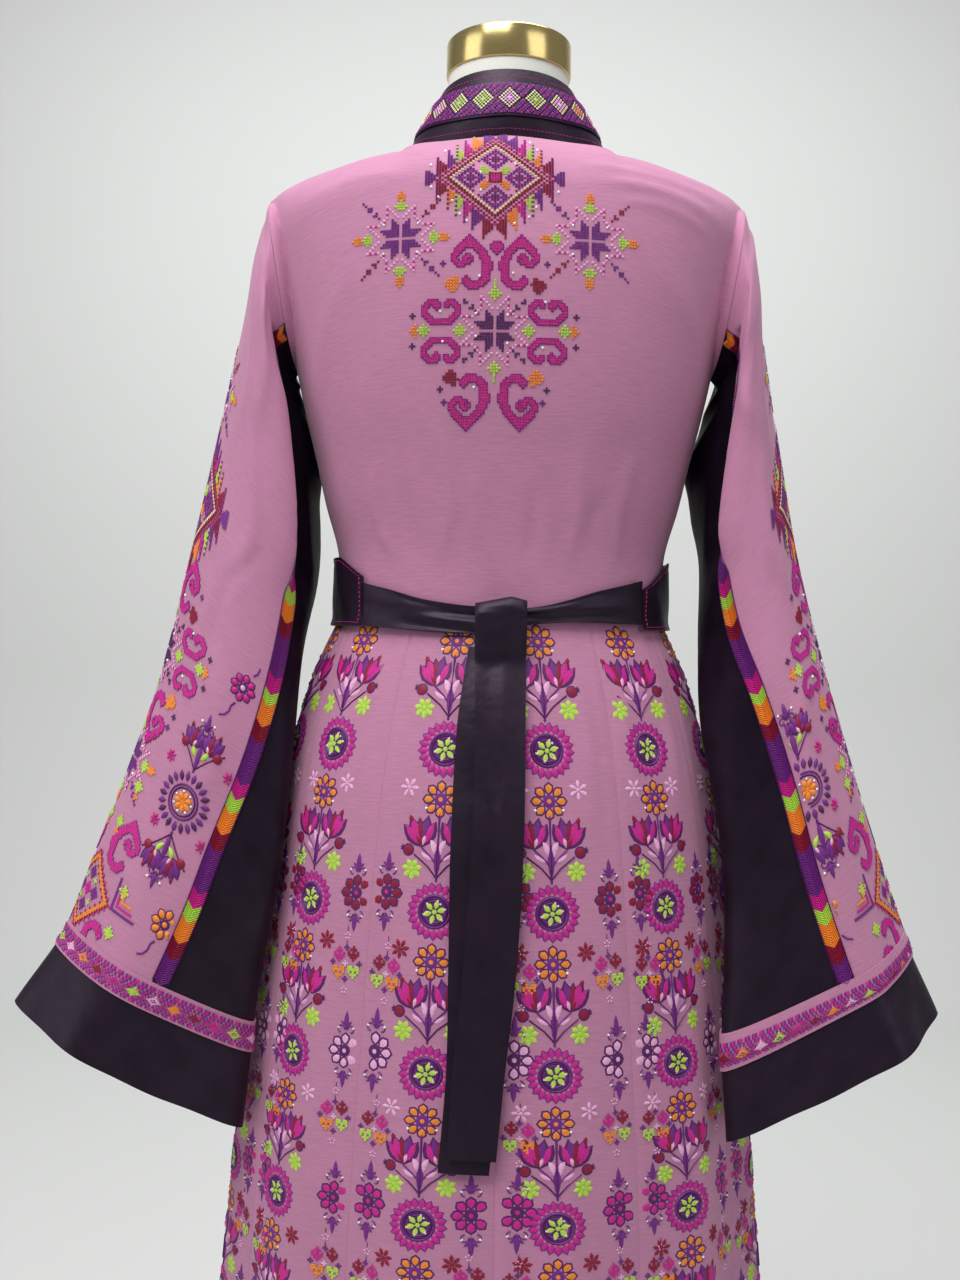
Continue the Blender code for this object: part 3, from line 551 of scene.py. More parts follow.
def satin(name, colour, shine=0.30):
    """Dark satin: smooth warp face with a violet lustre."""
    m, nodes, links, s = new_material(name)
    fine = uv_map(nodes, links, (1, 1, 1))
    warp = uv_map(nodes, links, (1.0, 0.08, 1))
    tone = noise_on(nodes, links, fine, 40.0, 3.0)
    line = noise_on(nodes, links, warp, 900.0, 2.0)
    soft = noise_on(nodes, links, fine, 95.0, 2.0)
    links.new(ramp(nodes, links, tone, [(0.3, times(colour, 0.75)), (0.7, times(colour, 1.3))]), s.inputs["Base Color"])
    rough = math_node(nodes, links, "ADD", math_node(nodes, links, "MULTIPLY", line, 0.12), 0.36)
    links.new(rough, s.inputs["Roughness"])
    if isinstance(shine, tuple):
        # painted shade: the reflection fades higher up, where the cloth lies in shadow between arm and body
        low, high, less, more = shine
        place, parts, share = nodes.new("ShaderNodeTexCoord"), nodes.new("ShaderNodeSeparateXYZ"), nodes.new("ShaderNodeMapRange")
        links.new(place.outputs["Object"], parts.inputs[0])
        links.new(parts.outputs["Z"], share.inputs["Value"])
        for key, value in (("From Min", low), ("From Max", high), ("To Min", more), ("To Max", less)):
            share.inputs[key].default_value = value
        links.new(share.outputs["Result"], s.inputs["Specular IOR Level"])
    else:
        s.inputs["Specular IOR Level"].default_value = shine
    s.inputs["Specular Tint"].default_value = (0.95, 0.78, 1.0, 1)
    s.inputs["Anisotropic"].default_value = 0.35
    # painted shade: the shaded copy gets no sheen
    s.inputs["Sheen Weight"].default_value = 0.0 if isinstance(shine, tuple) else 0.02
    s.inputs["Sheen Roughness"].default_value = 0.35
    s.inputs["Sheen Tint"].default_value = (0.70, 0.55, 0.95, 1)
    first = bump(nodes, links, s, soft, 0.20, 0.0022)
    bump(nodes, links, s, line, 0.12, 0.0004, first)
    return m


def thread(name, colour):
    """Stranded cotton: fine ply lines across the stitch and a little shine."""
    m, nodes, links, s = new_material(name)
    ply = uv_map(nodes, links, (1.0, 0.15, 1))
    base = uv_map(nodes, links, (1, 1, 1))
    line = noise_on(nodes, links, ply, 1500.0, 2.0, 0.6)
    tone = noise_on(nodes, links, base, 260.0, 2.0)
    mix = math_node(nodes, links, "ADD", math_node(nodes, links, "MULTIPLY", line, 0.6), math_node(nodes, links, "MULTIPLY", tone, 0.4))
    links.new(ramp(nodes, links, mix, [(0.30, times(colour, 0.68)), (0.52, colour), (0.75, times(colour, 1.25))]), s.inputs["Base Color"])
    s.inputs["Roughness"].default_value = 0.55
    s.inputs["Specular IOR Level"].default_value = 0.35
    s.inputs["Sheen Weight"].default_value = 0.15
    s.inputs["Sheen Tint"].default_value = (*times(colour, 1.6), 1)
    bump(nodes, links, s, line, 0.5, 0.0005)
    return m


def plain(name, colour, rough, metal=0.0, spec=0.5, grain=0.0, scale=400.0):
    m, nodes, links, s = new_material(name)
    coords = nodes.new("ShaderNodeTexCoord").outputs["Object"]
    n = noise_on(nodes, links, coords, scale, 3.0)
    links.new(ramp(nodes, links, n, [(0.3, times(colour, 0.95)), (0.7, times(colour, 1.04))]), s.inputs["Base Color"])
    s.inputs["Roughness"].default_value = rough
    s.inputs["Metallic"].default_value = metal
    s.inputs["Specular IOR Level"].default_value = spec
    if grain:
        bump(nodes, links, s, n, grain, 0.0006)
    return m


THREADS = [
    ("thread_magenta", (0.578, 0.017, 0.262)), ("thread_purple", (0.171, 0.021, 0.223)), ("thread_plum", (0.091, 0.013, 0.114)),
    ("thread_dark_red", (0.262, 0.007, 0.038)), ("thread_orange", (0.871, 0.262, 0.032)), ("thread_lime", (0.456, 0.680, 0.080)),
    ("thread_pink", (0.831, 0.429, 0.680)), ("thread_cream", (0.855, 0.775, 0.456)),
]
MA, PU, PL, DR, OR, LI, PI, CR, ST = range(9)
TINT = [thread(*t) for t in THREADS]


def rhinestone():
    m, nodes, links, s = new_material("rhinestone")
    s.inputs["Base Color"].default_value = (0.92, 0.93, 0.97, 1)
    s.inputs["Roughness"].default_value = 0.12
    s.inputs["Specular IOR Level"].default_value = 1.0
    s.inputs["Coat Weight"].default_value = 0.6
    return m


TINT.append(rhinestone())
MAUVE = crepe("mauve_crepe", (0.50, 0.215, 0.35))
SATIN = satin("plum_satin", (0.0125, 0.0065, 0.0150))
# painted shade: a darker copy of the plum satin for the under-sleeve, which lies in shadow between arm and body; its
# reflection and sheen are also cut back higher up
SATIN_PAINTED_SHADE = satin("plum_satin_painted_shade", (0.0105, 0.0055, 0.0125), (0.80, 1.02, 0.02, 0.30))
GROUND = satin("band_ground", (0.020, 0.006, 0.026))
COVER = plain("form_cover", (0.86, 0.86, 0.80), 0.75, 0.0, 0.3, 0.15, 900.0)
BRASS = plain("brass", (0.80, 0.62, 0.26), 0.20, 1.0, 0.5)
STEEL = plain("painted_steel", (0.80, 0.79, 0.75), 0.42)



# ---- embroidery: charts drawn flat (a across, b up, h off the cloth, metres), then laid on a panel ----
class Chart:
    def __init__(self):
        self.v, self.t, self.c, self.w, self.n, self.whole = [], [], [], [], 0, None

    def add(self, v, t, colour, turn=0.0):
        v, t = np.asarray(v, float), np.asarray(t, int)
        ca, sa = math.cos(turn), math.sin(turn)
        self.v.append(v)
        self.t.append(t + self.n)
        self.c.append(np.full(len(t), colour))
        self.w.append(np.stack([v[:, 0] * ca + v[:, 1] * sa, v[:, 1] * ca - v[:, 0] * sa], -1))
        self.n += len(v)
        self.whole = None

    def done(self):
        if self.whole is None:
            self.whole = tuple(np.concatenate(x) for x in (self.v, self.t, self.c, self.w))
        return self.whole

    def stamp(self, other, a=0.0, b=0.0, turn=0.0, size=1.0, mirror=False, recolour=None):
        v, t, c, w = other.done()
        v = v.copy()
        if mirror:
            v[:, 0] *= -1
            t = t[:, ::-1]
        ca, sa = math.cos(turn) * size, math.sin(turn) * size
        v = np.stack([v[:, 0] * ca - v[:, 1] * sa + a, v[:, 0] * sa + v[:, 1] * ca + b, v[:, 2]], -1)
        if recolour:
            c = c.copy()
            for old, new in recolour.items():
                c[other.whole[2] == old] = new
        self.v.append(v)
        self.t.append(t + self.n)
        self.c.append(c)
        self.w.append(w * size)
        self.n += len(v)
        self.whole = None


# fine: cross-stitches with notched edges; pillow: patches with a shoulder round their top
STITCH = {"fine": True, "pillow": True}


def fan(chart, outline, height, colour, turn=0.0, low=False):
    """A satin-stitched patch: closed outline, rounded up to a low dome."""
    o = np.asarray(outline, float)
    k = len(o)
    area = (o[:, 0] * np.roll(o[:, 1], -1) - o[:, 1] * np.roll(o[:, 0], -1)).sum()
    if area < 0:
        o = o[::-1]
    mid = o.mean(0)
    i = np.arange(k)
    j = (i + 1) % k
    edge = np.column_stack([o, np.full(k, -0.0002)])
    if low or not STITCH["pillow"]:
        v = np.vstack([edge, [*mid, height]])
        t = np.stack([i, j, np.full(k, k)], 1)
    else:
        inner = np.column_stack([mid + (o - mid) * 0.70, np.full(k, height * 0.78)])
        v = np.vstack([edge, inner, [*mid, height]])
        t = np.vstack([np.stack([i, j, j + k], 1), np.stack([i, j + k, i + k], 1), np.stack([i + k, j + k, np.full(k, 2 * k)], 1)])
    chart.add(v, t, colour, turn)


def leaf(chart, a, b, turn, length, width, colour, height=0.0007, k=8, blunt=False, bend=0.0, low=False):
    """A petal or leaf from (a, b) outward along turn (radians, 0 is up), pointed or blunt."""
    half = k // 2
    s = np.linspace(0, 1, half + 1)
    w = width / 2 * np.sin(math.pi * s) ** (0.55 if blunt else 0.95)
    if blunt:
        w = w * (0.72 + 0.42 * s)
    left = np.column_stack([-w, s * length])
    right = np.column_stack([w, s * length])[::-1][1:-1]
    o = np.vstack([left, right])
    o[:, 0] += bend * np.sin(math.pi * o[:, 1] / length)
    ca, sa = math.cos(turn), math.sin(turn)
    o = np.column_stack([o[:, 0] * ca + o[:, 1] * sa + a, -o[:, 0] * sa + o[:, 1] * ca + b])
    fan(chart, o, height, colour, math.pi / 2 - turn, low)


def oval(chart, a, b, ra, rb, colour, height=0.0007, k=10, turn=0.0, low=False):
    t = np.arange(k) * 2 * math.pi / k
    x, y = ra * np.cos(t), rb * np.sin(t)
    ca, sa = math.cos(turn), math.sin(turn)
    fan(chart, np.column_stack([x * ca + y * sa + a, -x * sa + y * ca + b]), height, colour, turn, low)


def line(chart, pts, width, colour, height=0.0005, closed=False):
    """A corded line: a ridge along points."""
    p = np.asarray(pts, float)
    if closed:
        p = np.vstack([p, p[:1]])
    d = np.gradient(p, axis=0)
    if closed:
        d[0] = d[-1] = p[1] - p[-2]
    d /= np.maximum(np.linalg.norm(d, axis=1, keepdims=True), 1e-9)
    s = np.column_stack([-d[:, 1], d[:, 0]])
    w = np.asarray(width, float) * np.ones(len(p)) / 2
    left, right = p + s * w[:, None], p - s * w[:, None]
    m = len(p)
    v = np.vstack([np.column_stack([left, np.full(m, -0.0002)]), np.column_stack([p, np.full(m, height)]), np.column_stack([right, np.full(m, -0.0002)])])
    i = np.arange(m - 1)
    t = []
    for x in (0, m):
        t += [np.stack([x + i, x + m + i, x + m + i + 1], 1), np.stack([x + i, x + m + i + 1, x + i + 1], 1)]
    along = np.concatenate([[0], np.cumsum(np.linalg.norm(np.diff(p, axis=0), axis=1))])
    chart.add(v, np.vstack(t), colour)
    chart.w[-1] = np.column_stack([np.tile(along * 0.5, 3), np.repeat([0, 0.5, 1], m) * width if np.isscalar(width) else np.repeat([0, 0.5, 1], m) * 0.001])
    chart.w[-1] = chart.w[-1][:, ::-1] * [0.3, 1.0]


def ring(chart, a, b, r, width, colour, height=0.0005, k=20, squash=1.0):
    t = np.arange(k) * 2 * math.pi / k
    line(chart, np.column_stack([a + r * np.cos(t), b + r * squash * np.sin(t)]), width, colour, height, True)


def gem(chart, a, b, r=0.0011):
    """A glued rhinestone: a low faceted dome with a flat table."""
    if not STITCH["pillow"]:
        t = np.arange(6) * math.pi / 3
        i = np.arange(6)
        v = np.vstack([np.column_stack([a + r * np.cos(t), b + r * np.sin(t), 0 * t - 0.0001]), [[a, b, r * 0.9]]])
        chart.add(v, np.stack([i, (i + 1) % 6, np.full(6, 6)], 1), ST)
        return
    t = np.arange(8) * math.pi / 4
    v = np.vstack([np.column_stack([a + r * np.cos(t), b + r * np.sin(t), 0 * t - 0.0001]),
                   np.column_stack([a + 0.55 * r * np.cos(t), b + 0.55 * r * np.sin(t), 0 * t + r * 0.85]), [[a, b, r * 0.9]]])
    i = np.arange(8)
    j = (i + 1) % 8
    tri = np.vstack([np.stack([i, j, j + 8], 1), np.stack([i, j + 8, i + 8], 1), np.stack([i + 8, j + 8, np.full(8, 16)], 1)])
    chart.add(v, tri, ST)


def cells(chart, table, pitch=0.0021, a=0.0, b=0.0, height=0.00065):
    """Cross-stitches: table maps (i, j) to a colour. Each is two crossed strands, a small four-pointed pillow."""
    if not table:
        return
    for colour in sorted(set(table.values())):
        ij = np.array(sorted(k for k, c in table.items() if c == colour), float)
        n = len(ij)
        centre = np.column_stack([a + ij[:, 0] * pitch, b + ij[:, 1] * pitch])
        e, m = 0.49 * pitch, 0.40 * pitch
        shape = np.array([(-e, -e, 0.4 * height), (0, -m, -0.0001), (e, -e, 0.4 * height), (m, 0, -0.0001), (e, e, 0.4 * height),
                          (0, m, -0.0001), (-e, e, 0.4 * height), (-m, 0, -0.0001), (0, 0, height)])
        if not STITCH["fine"]:
            shape = shape[[0, 2, 4, 6, 8]]
        m = len(shape) - 1
        v = np.concatenate([centre[:, None, :] + shape[None, :, :2], np.broadcast_to(shape[None, :, 2:], (n, m + 1, 1))], -1).reshape(-1, 3)
        k = np.arange(m)
        t = (np.stack([k, (k + 1) % m, np.full(m, m)], 1)[None] + (np.arange(n) * (m + 1))[:, None, None]).reshape(-1, 3)
        chart.add(v, t, int(colour), 0.785)


def art(rows, colours):
    """A small chart from text: the middle of the picture is (0, 0)."""
    out = {}
    h = len(rows)
    for r, text in enumerate(rows):
        for c, ch in enumerate(text):
            if ch in colours:
                out[(c - (len(text) - 1) / 2, (h - 1) / 2 - r)] = colours[ch]
    return out


def shift(table, di, dj, mirror=False):
    return {((-i if mirror else i) + di, j + dj): c for (i, j), c in table.items()}


# motifs
def daisy(petals, r0, length, width, colour, core, rim, outline=None, blunt=True, k=8, core_r=None):
    """A round flower: petals from r0 outward, a core with a rim, and a thin line round each petal."""
    c = Chart()
    for n in range(petals):
        t = 2 * math.pi * n / petals
        if outline is not None:
            leaf(c, (r0 - 0.0010) * math.sin(t), (r0 - 0.0010) * math.cos(t), t, length + 0.0020, width + 0.0018, outline, 0.0003, k, blunt, low=True)
        leaf(c, r0 * math.sin(t), r0 * math.cos(t), t, length, width, colour, 0.0009, k, blunt)
    cr = core_r or r0 * 0.62
    oval(c, 0, 0, cr * 1.35, cr * 1.35, rim, 0.0006, 10, low=True)
    oval(c, 0, 0, cr * 0.80, cr * 0.80, core, 0.0011, 8)
    return c


def star_knot(arms, r, colour, tip=None, heart=None, width=0.0026):
    """A small loose flower of straight stitches."""
    c = Chart()
    for n in range(arms):
        t = 2 * math.pi * (n + 0.25) / arms
        leaf(c, r * 0.10 * math.sin(t), r * 0.10 * math.cos(t), t, r * 0.9, width, colour, 0.0009, 6, True)
        if tip is not None:
            oval(c, r * 0.84 * math.sin(t), r * 0.84 * math.cos(t), width * 0.36, width * 0.36, tip, 0.0010, 5, low=True)
    if heart is not None:
        oval(c, 0, 0, width * 0.5, width * 0.5, heart, 0.0012, 6, low=True)
    return c


def sunflower():
    c = Chart()
    for n in range(21):
        t = 2 * math.pi * (n + 0.5) / 21
        leaf(c, 0.0143 * math.sin(t), 0.0143 * math.cos(t), t, 0.0100, 0.0068, PU, 0.0003, 6, low=True)
        leaf(c, 0.0144 * math.sin(t), 0.0144 * math.cos(t), t, 0.0092, 0.0054, MA, 0.0009, 8)
    oval(c, 0, 0, 0.0146, 0.0146, PL, 0.0002, 20, low=True)
    ring(c, 0, 0, 0.0131, 0.0022, PU, 0.0008, 22)
    ring(c, 0, 0, 0.0109, 0.0018, PL, 0.0006, 20)
    ring(c, 0, 0, 0.0092, 0.0020, PU, 0.0006, 18)
    c.stamp(star_knot(6, 0.0104, LI, CR, LI, 0.0056))
    gem(c, 0.0050, 0.0066)
    return c


def tulip():
    """Three upright petals on a bract, seen from the side; stands at its base."""
    c = Chart()
    for turn, length, width, colour, top in ((-0.60, 0.0165, 0.0074, MA, 0.0009), (0.64, 0.0174, 0.0074, MA, 0.0009), (-0.28, 0.0186, 0.0066, PU, 0.0011), (0.32, 0.0192, 0.0066, MA, 0.0011),
                                             (0.02, 0.0170, 0.0058, DR, 0.0013)):
        leaf(c, 0, -0.0006, turn, length + 0.0018, width + 0.0016, PL, 0.0004, 8, low=True)
        leaf(c, 0, 0.0003, turn, length, width, colour, top, 8)
    leaf(c, -0.0003, 0.0004, -0.34, 0.0082, 0.0034, PI, 0.0016, 6)
    leaf(c, 0.0003, 0.0004, 0.40, 0.0086, 0.0034, DR, 0.0016, 6)
    leaf(c, 0.0052, 0.0150, 0.25, 0.0052, 0.0034, DR, 0.0010, 6)
    return c


def column_unit():
    """One repeat of a gore's flower column: from a sunflower up to the orange flower over it."""
    c = Chart()
    c.stamp(sunflower(), 0, 0, 0, 0.88)
    line(c, [(0, 0.0215), (0, 0.070)], 0.0018, PU, 0.0007)
    leaf(c, 0, 0.0236, 0, 0.0280, 0.0056, PU, 0.0010, 8, True)
    line(c, [(0, 0.027), (0, 0.048)], 0.0010, PL, 0.0016)
    t = tulip()
    lime = star_knot(7, 0.0082, LI, None, LI, 0.0042)
    for s in (1, -1):
        line(c, [(0, 0.0240), (s * 0.0070, 0.0322), (s * 0.0180, 0.0405)], 0.0013, PL, 0.0006)
        line(c, [(0, 0.0330), (s * 0.0060, 0.0400), (s * 0.0125, 0.0458)], 0.0014, PU, 0.0005)
        oval(c, s * 0.0225, 0.0435, 0.0047, 0.0047, PL, 0.0004, 10, low=True)
        oval(c, s * 0.0225, 0.0435, 0.0039, 0.0039, DR, 0.0013, 9)
        for n in (-0.7, 0.0, 0.7):
            leaf(c, s * 0.0258, 0.0447, s * (1.25 + n), 0.0034, 0.0016, PL, 0.0006, 6, low=True)
        c.stamp(lime, s * 0.0190, 0.0297, 0.2 * s)
        leaf(c, s * 0.0016, 0.0395, s * 0.34, 0.0135, 0.0048, PI, 0.0010, 8, bend=-s * 0.0012)
        leaf(c, s * 0.0030, 0.0370, s * 1.05, 0.0110, 0.0032, PI, 0.0009, 8, bend=s * 0.0010)
        c.stamp(t, s * 0.0120, 0.0462, -s * 0.12, 1.18, s < 0)
        gem(c, s * 0.0105, 0.0740)
    c.stamp(daisy(8, 0.0052, 0.0080, 0.0062, OR, OR, PU, PL, core_r=0.0036), 0, 0.0805)
    return c


def fleur():
    """A purple bud with a pair of scrolls; stands at its base."""
    c = Chart()
    leaf(c, 0, 0.0012, 0, 0.0150, 0.0040, PU, 0.0008, 8)
    for s in (1, -1):
        leaf(c, 0, 0.0052, s * 0.95, 0.0058, 0.0022, PU, 0.0007, 6)
        t = np.linspace(0, 1.55 * math.pi, 10)
        r = 0.0034 * (1 - 0.42 * t / t[-1])
        x, y = 0.0042 - r * np.cos(t) * 0.9, 0.0038 + r * np.sin(t)
        line(c, np.column_stack([s * x, y - 0.0014]), 0.0011, PU, 0.0006)
    return c


def seam_flower(colour, core):
    c = Chart()
    c.stamp(daisy(8, 0.0046, 0.0078, 0.0064, colour, core, PL, PL, core_r=0.0034))
    f = fleur()
    c.stamp(f, 0, 0.0128)
    c.stamp(f, 0, -0.0128, math.pi)
    for s in (1, -1):
        for k in (1, -1):
            gem(c, s * 0.0060, k * 0.0165)
    return c


TREE = art(["..#..", ".###.", "#.#.#", "#####", ".###.", "..#.."], {"#": 0})
BUNCH = art(["##.##", "#####", "#.#.#", ".###.", "..#.."], {"#": 0})
CROSS = art([".#.", "###", ".#."], {"#": 0})


def tint(table, colour):
    return {k: colour for k in table}


def cross_star(r=0.0028, colour=PI):
    c = Chart()
    for n in range(5):
        t = 2 * math.pi * n / 5
        oval(c, r * 0.62 * math.sin(t), r * 0.62 * math.cos(t), 0.0010, 0.0010, colour, 0.0009, 5, low=True)
    return c


def cluster():
    """Four cross-stitched sprigs round a pink middle, with purple crosses between them."""
    c = Chart()
    t = {}
    t.update(shift(tint(TREE, DR), -3.2, 4.0))
    t.update(shift(tint(TREE, MA), 3.0, 3.4))
    t.update(shift(tint(BUNCH, LI), -3.6, -3.2))
    t.update(shift(tint(BUNCH, OR), 2.8, -3.6))
    cells(c, t, 0.0021)
    small = {}
    for i, j in ((-7.4, 0.2), (7.0, 0.4), (-0.2, 7.6), (-0.2, -7.4)):
        small.update(shift(tint(CROSS, PU), i, j))
    cells(c, small, 0.0017)
    cells(c, shift(tint(CROSS, PI), 0, 0), 0.0017)
    c.stamp(cross_star(0.0036), 0, 0.0225)
    c.stamp(cross_star(0.0036), 0, -0.0215)
    line(c, [(0, 0.0185), (0, 0.0150)], 0.0008, PU, 0.0004)
    line(c, [(0, 0.0262), (0, 0.0300)], 0.0008, PU, 0.0004)
    return c


# ---- panels: a dense grid of points and normals with a look-up from chart places ----
class Panel:
    def __init__(self, p, n, locate):
        self.p, self.n, self.locate = p, n, locate
        self.px = project(p)

    def at(self, v):
        fi, fj = self.locate(v[:, 0], v[:, 1])
        ni, nj = self.p.shape[:2]
        fi, fj = np.clip(fi, 0, ni - 1.0001), np.clip(fj, 0, nj - 1.0001)
        i, j = fi.astype(int), fj.astype(int)
        x, y = (fi - i)[:, None], (fj - j)[:, None]

        def mix(g):
            return (g[i, j] * (1 - x) + g[i + 1, j] * x) * (1 - y) + (g[i, j + 1] * (1 - x) + g[i + 1, j + 1] * x) * y

        n = mix(self.n)
        n /= np.linalg.norm(n, axis=1, keepdims=True)
        return mix(self.p) + n * (v[:, 2:3] + 0.0003)

    def inside(self, v, edge=0.5):
        fi, fj = self.locate(v[:, 0], v[:, 1])
        ni, nj = self.p.shape[:2]
        return (fi >= edge) & (fi <= ni - 1 - edge) & (fj >= edge) & (fj <= nj - 1 - edge)


def stitched(name, chart, panel, keep=None):
    """Lays a chart on a panel as one piece; stitches that would hang off its edge are left out."""
    v, t, c, w = chart.done()
    ok = panel.inside(v)
    whole = ok[t].all(1)
    if keep is not None:
        whole &= keep(v)[t].all(1)
    # a stitch is kept only whole: drop every triangle of a patch that lost one
    group = np.arange(len(v))
    bad = np.zeros(len(v), bool)
    bad[t[~whole].ravel()] = True
    whole &= ~bad[t].any(1)
    t, c = t[whole], c[whole]
    used = np.unique(t)
    renum = np.zeros(len(v), int)
    renum[used] = np.arange(len(used))
    t = renum[t]
    colours = sorted(set(c.tolist()))
    index = np.searchsorted(colours, c)
    xyz = panel.at(v[used])
    # keep faces looking off the cloth
    sample = t[: min(len(t), 400)]
    e1, e2 = xyz[sample[:, 1]] - xyz[sample[:, 0]], xyz[sample[:, 2]] - xyz[sample[:, 0]]
    fi, fj = panel.locate(v[used][sample[:, 0], 0], v[used][sample[:, 0], 1])
    ni, nj = panel.p.shape[:2]
    nn = panel.n[np.clip(fi.astype(int), 0, ni - 1), np.clip(fj.astype(int), 0, nj - 1)]
    if (np.cross(e1, e2) * nn).sum() < 0:
        t = t[:, ::-1]
    obj = make_mesh(name, xyz, None, t, [TINT[k] for k in colours], index, w[used], True, 75)
    put(obj, None)
    return obj



# ---- bodice ----
def bodice_grid(front, sign=0, ni=111, nj=121):
    v = 1 - (1 - np.linspace(0, 1, nj)) ** 1.35
    if front:
        lo_q = places([0.006])[0]
        q = np.linspace(lo_q, 1, ni) * sign
    else:
        q = np.linspace(-1, 1, ni)
    qq, vv = grid(q, v)
    p = bodice(qq, vv, front)
    n = normals(p, np.array([0, 1 if front else -1, 0]))
    return q, v, p, n


BACK_FOLDS = [
    # x0, z0, x1, z1, width, height
    (-0.048, 1.072, -0.060, 1.185, 0.0065, 0.0016), (0.050, 1.070, 0.058, 1.170, 0.0060, 0.0014),
    (-0.085, 1.075, -0.098, 1.150, 0.0060, 0.0015), (0.088, 1.072, 0.102, 1.160, 0.0060, 0.0016),
    (-0.012, 1.070, -0.020, 1.150, 0.0070, 0.0010), (0.020, 1.070, 0.022, 1.135, 0.0060, -0.0012),
    (-0.068, 1.072, -0.078, 1.130, 0.0050, -0.0012), (0.070, 1.072, 0.078, 1.125, 0.0050, -0.0012),
    (0.070, 1.392, 0.170, 1.378, 0.0042, 0.0014), (0.060, 1.376, 0.175, 1.362, 0.0045, 0.0015),
    (0.075, 1.362, 0.165, 1.346, 0.0050, 0.0013), (0.085, 1.345, 0.160, 1.330, 0.0055, 0.0010),
    (-0.065, 1.388, -0.150, 1.374, 0.0050, 0.0009), (-0.080, 1.366, -0.165, 1.350, 0.0055, 0.0009),
    (-0.150, 1.190, -0.120, 1.300, 0.0100, 0.0014), (0.152, 1.190, 0.124, 1.300, 0.0100, 0.0014),
    (-0.110, 1.120, -0.085, 1.260, 0.0120, 0.0009), (0.112, 1.120, 0.090, 1.250, 0.0120, 0.0009),
]


def back_places(a, b):
    half = cubic(BODICE, b, 1)
    s = np.clip(a / half, -0.9999, 0.9999)
    top = cubic(SHOULDER, np.abs(s * SHOULDER_HALF_W), 1)
    v = (b - 0.0005 - WAIST_Z) / (top - WAIST_Z - 0.0009)
    ni, nj = back_p.shape[:2]
    # beyond the panel the place runs on, so that stitches there are found to be off it
    w = np.where(v <= 1, 1 - np.clip(1 - v, 0, 1) ** (1 / 1.35), 1.5)
    w = np.where(v < 0, -0.1, w)
    return (np.arcsin(s) * 2 / math.pi + 1) / 2 * (ni - 1), w * (nj - 1)


back_q, back_v, back_p, back_n = bodice_grid(False)
f = folds(BACK_FOLDS, back_p[..., 0], back_p[..., 2])
edge = smooth((1 - np.abs(back_q)) / 0.06)[:, None] * smooth((1 - back_v) / 0.05)[None, :]
back_p = back_p + back_n * (f * edge)[..., None]
back_n = normals(back_p, np.array([0, -1, 0]))
put(sheet_mesh("kaftan_back", back_p, back_n, MAUVE, side=-1), "bodice_back")
BACK = Panel(back_p, back_n, back_places)
BACK.ab = np.stack([back_p[..., 0], back_p[..., 2]], -1)

FRONT_FOLDS = [
    (0.040, 1.075, 0.052, 1.180, 0.0065, 0.0016), (0.080, 1.075, 0.095, 1.165, 0.0060, 0.0015), (0.062, 1.075, 0.070, 1.140, 0.0050, -0.0012),
    (0.020, 1.075, 0.024, 1.150, 0.0060, 0.0012), (0.105, 1.370, 0.170, 1.355, 0.0050, 0.0011), (0.100, 1.350, 0.165, 1.330, 0.0055, 0.0010),
    (0.140, 1.200, 0.118, 1.300, 0.0110, 0.0014), (0.105, 1.130, 0.085, 1.250, 0.0120, 0.0010),
]
FRONTS = {}
for sign, side in ((-1, "left"), (1, "right")):
    q, v, p, n = bodice_grid(True, sign, 61, 101)
    f = folds(FRONT_FOLDS, np.abs(p[..., 0]), p[..., 2] + 0.006 * sign)
    edge = smooth((1 - np.abs(q)) / 0.08)[:, None] * smooth((1 - v) / 0.05)[None, :] * smooth((np.abs(q) - 0.004) / 0.06)[:, None]
    p = p + n * (f * edge)[..., None]
    n = normals(p, np.array([0, 1, 0]))
    put(sheet_mesh("kaftan_front_" + side, p, n, MAUVE, side=1), "bodice_front_" + side)

# ---- collar: a satin funnel that runs on down the front as a V ----
half_w = np.concatenate([np.linspace(0, 0.4, 61), np.linspace(0.4, 1, 61)[1:]])
ws = np.concatenate([-half_w[:0:-1], half_w])
w, h = grid(ws, np.concatenate([np.linspace(0, BAND_LOW, 7), np.linspace(BAND_LOW, BAND_HIGH, 11)[1:], np.linspace(BAND_HIGH, 1, 6)[1:]]))
collar_p = collar(w, h)
collar_n = normals(collar_p, collar_p * [1, 1, 0] + [0, 0, 0.12])
put(sheet_mesh("collar_satin", collar_p, collar_n, SATIN, 0.0016), "collar")
band_p = (collar_p + collar_n * 0.0014)[:, 6:17]
band_n = collar_n[:, 6:17]
put(sheet_mesh("collar_band_ground", band_p, band_n, GROUND, 0.0009), "collar_band")

